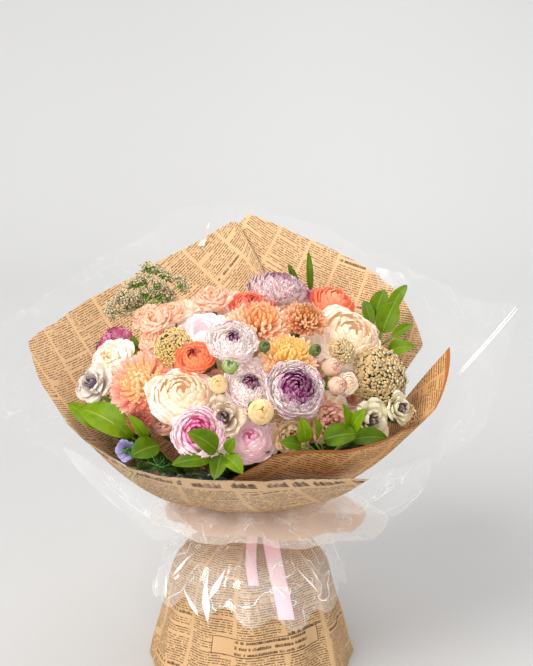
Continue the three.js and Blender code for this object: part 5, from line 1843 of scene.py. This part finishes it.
@dataclass
class Wrapper:
    """Paper collar, skirt and flounce, the film over them, the ribbon and the twine; sizes are in mm."""

    kit: "Kit"
    skirt_wall: float = 0.8
    pleats: float = 0.026
    waves: float = 0.03
    flounce_neck: float = 30.4
    flounce_wall: float = 0.6
    film_neck: float = 29.0
    film_start: float = 11.2
    film_wall: float = 0.4
    ribbon_radius: float = 32.0
    ribbon_width: float = 18.0
    ribbon_wall: float = 0.9
    twine_radius: float = 19.2
    twine_turns: int = 3
    print_round: float = 88.0
    print_start: float = 400.0

    def __post_init__(self) -> None:
        """Makes the wrapper's materials."""
        self.kraft = PaperFinish("printed_kraft", 0xD8AE80).material()
        # The right front sheet's darker, more orange kraft and its rim band are painted shade; the band is
        # partly its turned-over edge.
        self.folded = PaperFinish("folded_kraft_painted_shade", 0xC88C4C, edge=0xA45E28, row=3.8).material()
        self.front = PaperFinish("titled_kraft", 0xC49C72, title=True, row=3.8).material()
        # The skirt's darker kraft is painted shade, as the skirt gets less light.
        self.lower = PaperFinish("skirt_kraft_painted_shade", 0xC2986A, box=(376.0, 491.0, 444.0, 464.0)).material()
        # The flounce paper's light colour and glow are painted light over the shade the bowl casts on it.
        self.bare = PaperFinish("plain_kraft", 0xD6AE90, printed=0.0, painted_glow=0.1).material()
        self.film = FilmFinish("clear_film", 0.01, 0.01, 0.14, metal=0.0, painted_glow=0.12).material()
        self.fold = FilmFinish("folded_film", 0.22, 0.1, 0.3, (0.95, 0.9, 0.87), 0.1, 0.3).material()
        self.creased = FilmFinish("creased_film", 0.1, 0.03, 0.9, metal=0.25, rough=0.1).material()
        self.loose = FilmFinish("loose_film", 0.07, 0.05, 0.4, rough=0.3).material()
        # Painted highlights: nearly opaque white film for the bright lines along the film's edge, folds and
        # tip.
        self.bright = FilmFinish("film_painted_highlight", 0.5, 0.1, 0.2, (1.0, 1.0, 1.0), 0.0, 0.5).material()
        self.satin = SatinFinish("pink_satin", 0xF0C6D6).material()
        self.string = StemFinish("twine", 0x8A6A3C, 0xC9AC78, 500.0, 0.9).material()

    def ring(self, profile: Array, bearing: Array, relief: Array, thickness: float,
             material: Material, name: str, node: str, tone: object = 0.5,
             crease: float = 70.0) -> None:
        """Adds a sheet that runs all round the tie.

        Args:
            profile: Radius and height for each row and bearing, as (rows, bearings, 2).
            bearing: The bearings in degrees, of which the first and last are the same way.
            relief: How far each point stands out.
            thickness: The sheet's thickness.
            material: Its material.
            name: The piece's name.
            node: The CAD node it stands for.
            tone: What the material reads at each point.
            crease: Edges sharper than this many degrees are shaded as edges.
        """
        angle = np.radians(bearing)[None]
        points = stacked(profile[..., 0] * np.cos(angle), profile[..., 0] * np.sin(angle), profile[..., 1])
        normals = grid_normals(points)
        normals[:, 0] = normals[:, -1] = (normals[:, 0] + normals[:, -1]) / 2
        points = points + normals * relief[..., None]
        points[:, -1] = points[:, 0]
        uv = stacked(angle * self.print_round, run_along(points) + self.print_start)
        tone = np.broadcast_to(tone, points.shape[:2])[None] if np.ndim(tone) == 2 else tone
        batch = Batch()
        batch.shell(points[None], thickness, uv[None], tone, 0.5, round_seam=True)
        self.kit.put(batch, name, material, node, layer="sheet", merge=True, crease=crease)

    def collars(self) -> None:
        """Builds the four sheets of the collar."""
        looks = {"collar_front_right": self.folded, "collar_front_left": self.front}
        for sheet in COLLARS:
            batch = Batch()
            sheet.add_to(batch)
            look = looks.get(sheet.node, self.kraft)
            self.kit.put(batch, f"paper_{sheet.node}", look, sheet.node, layer="sheet")

    def skirt(self) -> None:
        """Builds the flared, pleated skirt."""
        stops = np.array(SKIRT_PROFILE, float)
        z = np.concatenate([np.linspace(0, 150, 30), np.linspace(153, 180, 8)])
        bearing = np.linspace(0, 360, 217)
        radius = np.interp(z, stops[:, 0], stops[:, 1])
        smooth = np.convolve(np.pad(radius, 2, "edge"), np.ones(5) / 5, "valid")
        radius = np.where((z > 4) & (z < 140), smooth, radius)[:, None]
        z = z[:, None]
        b = np.radians(bearing)[None]
        share = np.clip((radius - stops[-1, 1]) / 90, 0, 1)
        pleat = 90 * share * (self.pleats * np.cos(12 * b + 0.4 * np.sin(3 * b + z * 0.02))
                              + self.waves * np.cos(5 * b + 1.2 + z * 0.006))
        fine = ripple(np.sin(b) * 3, np.cos(b) * 2 + z * 0.02, 4) * 1.3 * share
        profile, relief = stacked(radius + pleat, z), fine * np.clip(z / 12, 0, 1)
        self.ring(profile, bearing, relief, self.skirt_wall, self.lower, "paper_skirt_sheet", "paper_skirt")

    def flounce(self) -> None:
        """Builds the gathered flounce at the tie: plain paper, and folded film over it."""
        stops = np.array(FLOUNCE_RIM, float)
        bearing = np.linspace(0, 360, 181)
        reach, rise = along(stops, bearing, 1)[None], along(stops, bearing, 2)[None]
        share = np.linspace(0, 1, 22)[:, None]
        b = np.radians(bearing)[None]
        gather = 3.0 * share * np.cos(8 * b) + 1.2 * share * np.cos(27 * b + 2 * share) * (1 - share * 0.5)
        for name, material, part, lift, arch in (("paper_flounce_sheet", self.bare, 0.8, -2.4, 6.0),
                                                 ("film_flounce_sheet", self.fold, 1.0, 0.0, 18.0)):
            s = share * part
            z = TIE_HEIGHT + 10.2 + lift + (rise - 10.2) * s ** 1.5 + gather * part
            z = z + arch * np.sin(math.pi * s) ** 1.3
            radius = self.flounce_neck + lift * 0.2 + (reach - self.flounce_neck) * s
            foot = stacked(np.full((1, len(bearing)), radius[0, 0]), TIE_HEIGHT + 4.0 + lift)
            profile = np.concatenate([foot, stacked(radius, z)])
            tone = np.broadcast_to(np.concatenate([[[0.2]], 0.2 + 0.8 * s]), profile.shape[:2])
            flat = np.zeros(profile.shape[:2])
            self.ring(profile, bearing, flat, self.flounce_wall, material, name, "paper_flounce", tone)

    @staticmethod
    def facets(x: Array, y: Array, sizes: Floats, seed: int) -> Array:
        """A relief of flat facets with sharp creases between them.

        Args:
            x: The first coordinate.
            y: The second one.
            sizes: The width of each set of facets.
            seed: Its random seed.

        Returns:
            The relief, between 0 and 1.
        """
        luck = np.random.default_rng(seed)
        total = np.zeros(np.broadcast(x, y).shape)
        for size in sizes:
            turn = luck.uniform(0, math.pi)
            line = (x * math.cos(turn) + y * math.sin(turn)) / size + luck.uniform(0, 2)
            total = total + np.abs(line % 2 - 1)
        return total / len(sizes)

    @staticmethod
    def panel(near: Sequence[Floats], far: Sequence[Floats], u: Array, w: Array) -> Array:
        """A flat grid of points between two pairs of corners, where w is the way from near to far."""
        near, far = np.array(near, float), np.array(far, float)
        return (near[0] * (1 - u) + near[1] * u) * (1 - w) + (far[0] * (1 - u) + far[1] * u) * w

    def film_collar(self) -> None:
        """Builds the clear sheet outside the paper."""
        stops = np.array(FILM_RIM, float)
        bearing = np.linspace(3, 363, 301)
        b = np.radians(bearing)[None]
        reach = along(stops, bearing, 1)[None] + 3 * np.round(np.sin(11 * b) * 1.4)
        rise = along(stops, bearing, 2)[None] + 3 * np.sin(17 * b)
        share = (np.linspace(0.0, 1, 30) ** 1.3)[:, None]
        radius = self.film_neck + (reach - self.film_neck) * share ** FLARE
        height = TIE_HEIGHT + self.film_start + (rise - self.film_start) * share
        seam = np.clip(np.minimum(bearing - 3, 363 - bearing) / 8, 0, 1)[None]
        relief = self.facets(b * 160, share * 260, (70.0, 55.0, 90.0, 40.0), 9) * 7
        relief = relief * np.clip(share * 1.4, 0, 1) * seam
        tone = np.clip(share * 1.2 - 0.1, 0.0, 0.8) * (0.35 + 0.65 * np.clip(0.5 - np.sin(b), 0, 1))
        self.ring(stacked(radius, height), bearing, relief, self.film_wall, self.film, "film_sheet",
                  "clear_film", tone, 11.0)

    def wings(self) -> None:
        """Builds the loose wings of film at the tie, and the patch at the upper right."""
        batch = Batch()
        u, w = np.linspace(0, 1, 26)[:, None, None], np.linspace(0, 1, 15)[None, :, None]
        for near, far, bow in FILM_WINGS:
            grid = self.panel(near, far, u, w)
            grid[..., 0] += (bow * np.sin(math.pi * w) * u)[..., 0]
            crumple = self.facets(u * 120, w * 60, (26.0, 40.0, 33.0), 44) * 11 * np.sqrt(u)
            grid = grid + grid_normals(grid) * crumple
            batch.shell(grid[None], self.film_wall, stacked(u * 120, w * 60)[None, :, :, 0], 0.8, 0.5)
        u, w = u[::3], w[:, ::2]
        grid = self.panel(*FILM_PATCH, u, w)
        grid = grid + grid_normals(grid) * self.facets(u * 34, w * 24, (13.0, 17.0), 3) * 5
        batch.shell(grid[None], self.film_wall, stacked(u * 34, w * 24)[None, :, :, 0], 1.0, 0.5)
        self.kit.put(batch, "film_wing", self.loose, "clear_film", layer="sheet", crease=9.0)

    def painted_highlights(self) -> None:
        """Builds painted highlights: white strips of film along its edge, on the folds of its fringe and at
        its tip at the top.
        """
        batch = Batch()
        for turn, first in ((3.0, 0.34), (1.2, 0.62)):
            share = np.linspace(first, 1.0, 24)[:, None]
            r = 31.0 + (FILM_RIM[0][1] - self.film_neck) * share ** FLARE
            h = TIE_HEIGHT + self.film_start + (FILM_RIM[0][2] - self.film_start) * share
            wide = np.linspace(-0.011, 0.011, 3)[None] * np.sin(np.linspace(0.3, 2.9, 24))[:, None]
            side = wide + math.radians(turn)
            grid = stacked(r * np.cos(side), r * np.sin(side), h)
            batch.shell(grid[None], self.film_wall, stacked(side * 200.0, h)[None], 1.0, 0.5)
        fringe = np.array(FRINGE_PROFILE, float)
        t, u = np.linspace(0, 1, 9)[:, None], np.linspace(-1, 1, 3)[None]
        taper = np.clip(t * 1.6, 0.05, 1) * np.clip((1.02 - t) * 3, 0, 1)
        for turn, swing, top, low, half in FILM_SHARDS:
            z = top + (low - top) * t
            r = np.interp(z, fringe[:, 0], fringe[:, 1]) + 9.0
            side = np.radians(turn + swing * t) + u * half * taper / r
            grid = stacked(r * np.cos(side), r * np.sin(side), z)
            batch.shell(grid[None], self.film_wall, stacked(u * half, z)[None], 1.0, 0.5)
        tip = np.array(FILM_TIP, float)
        batch.shell(tip[None], self.film_wall, tip[None][..., ::2], 1.0, 0.5)
        self.kit.put(batch, "film_painted_highlights", self.bright, "clear_film", layer="sheet")

    def hanging_film(self) -> None:
        """Builds the creased fringe of film over the skirt."""
        fringe = np.array(FRINGE_PROFILE, float)
        bearing = np.linspace(0, 360, 145)
        b = np.radians(bearing)[None]
        z = np.linspace(fringe[0, 0], fringe[-1, 0], 22)[:, None]
        hang = np.interp(z, fringe[:, 0], fringe[:, 1])
        hem = 9 * np.cos(3 * b) * np.clip((118 - z) / 32, 0, 1)
        hem = hem + 6 * np.sin(13 * b) * np.clip((104 - z) / 18, 0, 1)
        lower = stacked(hang + 0.05 * np.cos(12 * b) * (hang - self.film_neck), z + hem)
        ends = np.clip(np.minimum(bearing, 360 - bearing) / 6, 0, 1)[None]
        relief = self.facets(b * 75, z, (21.0, 15.0, 29.0, 18.0), 31) * 10
        relief = relief * np.clip((176 - z) / 40, 0, 1) * ends
        self.ring(lower, bearing, relief, self.film_wall, self.creased, "film_fringe", "clear_film", 0.8, 9.0)

    def strip(self, batch: Batch, path: Sequence[Floats], width: float,
              across: Floats) -> None:
        """Adds a length of ribbon along a smooth path.

        Args:
            batch: Where it is added.
            path: Points that it runs through.
            width: Its width, in mm.
            across: The direction of its width.
        """
        stops = np.array(path, float)
        t = np.linspace(0, len(stops) - 1, 40)
        table = np.concatenate([np.arange(len(stops))[:, None], stops], 1)
        line = np.stack([along(table, t, k) for k in (1, 2, 3)], 1)
        u = np.linspace(-1, 1, 9)
        side = np.array(across, float)
        normal = np.cross(side, np.gradient(line, axis=0))
        normal /= np.linalg.norm(normal, axis=1, keepdims=True)
        cup = (u[None] ** 2) * 1.2
        points = line[:, None] + u[None, :, None] * 0.5 * width * side + cup[..., None] * normal[:, None]
        uv = stacked(u[None] * width / 2, run_along(line)[:, None])
        tone = np.broadcast_to(np.abs(u)[None], points.shape[:2])
        batch.shell(points[None], self.ribbon_wall, uv[None], tone[None], 0.5)

    def ribbon(self) -> None:
        """Builds the satin ribbon: band, knot, loop and two tails."""
        batch = Batch()
        bearing = np.radians(np.linspace(0, 360, 73))[None]
        half = self.ribbon_width / 2
        rise = np.linspace(-half, half, 9)[:, None]
        radius = self.ribbon_radius + 0.35 * np.sin(rise * 1.1 + 3 * bearing)
        points = stacked(radius * np.cos(bearing), radius * np.sin(bearing), TIE_HEIGHT + rise)
        points[:, -1] = points[:, 0]
        uv = stacked(TIE_HEIGHT + rise, bearing * self.ribbon_radius)
        tone = np.broadcast_to(np.abs(rise) / half, points.shape[:2])
        batch.shell(points[None], self.ribbon_wall, uv[None], tone[None], 0.5, round_seam=True)
        for path, width, across in RIBBON_LENGTHS:
            self.strip(batch, path, width, across)
        self.kit.put(batch, "ribbon_satin", self.satin, "ribbon", layer="sheet", merge=True)
        knot = Batch()
        turn = np.linspace(0, 2 * math.pi, 33)[None]
        u = np.linspace(-1, 1, 11)[:, None]
        wide = 9.0 + 0.8 * np.cos(3 * turn) - 2.2 * u ** 4
        deep = 4.2 - 1.0 * u ** 4
        grid = stacked(12 + wide * np.cos(turn), -36.5 + deep * np.sin(turn), TIE_HEIGHT - 1 + 7.5 * u)
        grid[:, -1] = grid[:, 0]
        knot.shell(grid[None], 1.2, stacked(7.5 * u, turn * 8)[None], 0.3, 0.5, round_seam=True)
        self.kit.put(knot, "ribbon_knot", self.satin, "ribbon", layer="sheet", merge=True)

    def twine(self) -> None:
        """Builds the twine: three turns round the stems."""
        batch = Batch()
        t = np.linspace(0, self.twine_turns * 2 * math.pi, 150)
        r = self.twine_radius
        path = np.stack([r * np.cos(t), r * np.sin(t), TIE_HEIGHT - 4 + 8 * t / t[-1]], 1)
        batch.tube(path, 1.6 + 0.18 * np.sin(t * 23), 8)
        self.kit.put(batch, "twine_turns", self.string, "twine")

    def build(self) -> None:
        """Builds the whole wrapper."""
        self.collars()
        self.skirt()
        self.flounce()
        self.film_collar()
        self.wings()
        self.painted_highlights()
        self.hanging_film()
        self.ribbon()
        self.twine()
        log.info("wrapper built")


# The frame, the studio and main


class Kit:
    """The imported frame, and how pieces join it."""

    def __init__(self) -> None:
        """Loads the frame and finds the tie's axis."""
        self.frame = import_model()
        bpy.ops.object.select_all(action="DESELECT")
        low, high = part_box("twine")
        middle = (np.array(low) + np.array(high)) / 2 / MM
        self.axis = np.array([middle[0], middle[1], 0.0])
        self.slots = {part["node"]: part["material_slot"] for part in self.frame["record"]["subparts"]}
        self.cad_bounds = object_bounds()

    def points(self, node: str) -> Array:
        """A CAD node's points without doubles, in mm about the tie's axis.

        Args:
            node: The node.

        Returns:
            The points.
        """
        mesh = self.frame["nodes"][node].data
        raw = np.zeros(len(mesh.vertices) * 3, np.float32)
        mesh.vertices.foreach_get("co", raw)
        points = np.unique(np.round(raw.reshape(-1, 3).astype(float) / MM, 2), axis=0)
        return points - self.axis

    def put(self, batch: Batch, name: str, material: Material, node: str | None,
            slot_of: str | None = None, **shape: object) -> None:
        """Builds a batch, which rides on the root body, in place of a CAD node where one is given.

        Args:
            batch: The batch.
            name: The piece's name.
            material: Its material.
            node: The CAD node it stands for.
            slot_of: Not used; it names the node whose material slot the piece would take, where it stands for
                none.
            **shape: How the batch is built.
        """
        piece = batch.build(name, material, self.axis, **shape)
        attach(piece, "root")
        if node:
            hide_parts(node)
        log.info("%s: %d points", name, batch.count)

    def dress(self, material: Material, *nodes: str) -> None:
        """Gives CAD nodes a material.

        Args:
            material: The material.
            *nodes: The nodes.
        """
        for node in nodes:
            data = self.frame["nodes"][node].data
            data.materials.clear()
            data.materials.append(material)


# Sheets of film that may lie behind each other before the view through them ends
FILM_LAYERS = 32


@dataclass
class Studio:
    """The pale backdrop, the soft lights and the camera, in metres."""

    axis: Vector
    pitch: float = math.radians(16.0)
    target: tuple[float, float, float] = (0.018, 0.0, 0.382)
    distance: float = 1.75
    lens: float = 86.0

    def backdrop(self) -> None:
        """A floor that sweeps up into a back wall."""
        bpy.ops.mesh.primitive_plane_add(size=1.0, location=(0, 0, -0.0006))
        floor = bpy.context.object
        floor.name = "studio_floor"
        bpy.ops.object.mode_set(mode="EDIT")
        bpy.ops.mesh.select_all(action="SELECT")
        bpy.ops.transform.resize(value=(9.0, 7.0, 1.0))
        bpy.ops.transform.translate(value=(0, -0.6, 0))
        bpy.ops.object.mode_set(mode="OBJECT")
        back = [e for e in floor.data.edges if all(floor.data.vertices[v].co.y > 0 for v in e.vertices)]
        for item in (*floor.data.vertices, *floor.data.edges, *floor.data.polygons):
            item.select = False
        back[0].select = True
        for v in back[0].vertices:
            floor.data.vertices[v].select = True
        bpy.ops.object.mode_set(mode="EDIT")
        bpy.ops.mesh.extrude_region_move(TRANSFORM_OT_translate={"value": (0, 0, 4.0)})
        bpy.ops.object.mode_set(mode="OBJECT")
        bevel = floor.modifiers.new("sweep", "BEVEL")
        bevel.width, bevel.segments, bevel.limit_method = 1.2, 16, "ANGLE"
        select_only(floor)
        bpy.ops.object.modifier_apply(modifier="sweep")
        bpy.ops.object.shade_smooth()
        bpy.ops.object.transform_apply(location=True, rotation=True, scale=True)
        floor.data.materials.append(StudioFinish("studio_grey", 0.81, 0.54).material())
        floor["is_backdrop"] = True

    @staticmethod
    def light(name: str, place: Floats, size: float, power: float, colour: Floats) -> None:
        """Adds a soft square light that looks at the bouquet.

        Args:
            name: Its name.
            place: Where it hangs, in metres.
            size: Its side.
            power: Its power, in watts.
            colour: Its colour.
        """
        bpy.ops.object.light_add(type="AREA", location=place)
        lamp = bpy.context.object
        lamp.name = name
        lamp.data.shape = "SQUARE"
        lamp.data.size = size
        lamp.data.energy = power
        lamp.data.color = colour
        look = Vector((0, 0, 0.32)) - Vector(place)
        lamp.rotation_euler = look.to_track_quat("-Z", "Y").to_euler()

    def camera(self) -> None:
        """Places the camera where the photograph was taken from."""
        target = Vector(self.target) + self.axis
        place = target + self.distance * Vector((0, -math.cos(self.pitch), math.sin(self.pitch)))
        bpy.ops.object.camera_add(location=place, rotation=(math.pi / 2 - self.pitch, 0, 0))
        camera = bpy.context.object
        camera.data.sensor_fit = "VERTICAL"
        camera.data.sensor_height = 36.0
        camera.data.lens = self.lens
        bpy.context.scene.camera = camera

    def build(self) -> None:
        """Builds the studio."""
        self.backdrop()
        self.light("key_light", (-1.3, -1.2, 2.1), 1.5, 63.0, (1.0, 0.975, 0.94))
        self.light("fill_light", (1.7, -1.3, 1.1), 1.6, 9.0, (0.97, 0.98, 1.0))
        self.light("low_light", (-0.2, -2.3, 0.6), 1.3, 17.0, (1.0, 0.99, 0.97))
        self.light("top_light", (0.2, 0.9, 2.2), 1.5, 24.0, (1.0, 0.99, 0.97))
        world = bpy.data.worlds.new("studio_world")
        world.use_nodes = True
        world.node_tree.nodes["Background"].inputs[0].default_value = (0.93, 0.94, 0.95, 1.0)
        world.node_tree.nodes["Background"].inputs[1].default_value = 0.49
        bpy.context.scene.world = world
        bpy.context.scene.view_settings.view_transform = "Standard"
        bpy.context.scene.cycles.transparent_max_bounces = FILM_LAYERS
        self.camera()
        log.info("studio built")


def main() -> None:
    """Builds the bouquet on its frame, then the studio."""
    logging.basicConfig(level=logging.INFO, format="%(name)s: %(message)s")
    kit = Kit()
    kit.dress(StemFinish("fresh_stems", 0x3E5E22, 0x7E9A4A, 200.0).material(), "stem_bundle")
    Flowers(kit).build()
    Foliage(kit).build()
    Wrapper(kit).build()
    hidden = StemFinish("under_petals", 0x8C7A5A, 0xD8C8A8, 200.0).material()
    for node in kit.frame["nodes"]:
        if node != "stem_bundle":
            kit.dress(hidden, node)
    Studio(Vector(kit.axis * MM)).build()


if __name__ == "__main__":
    main()
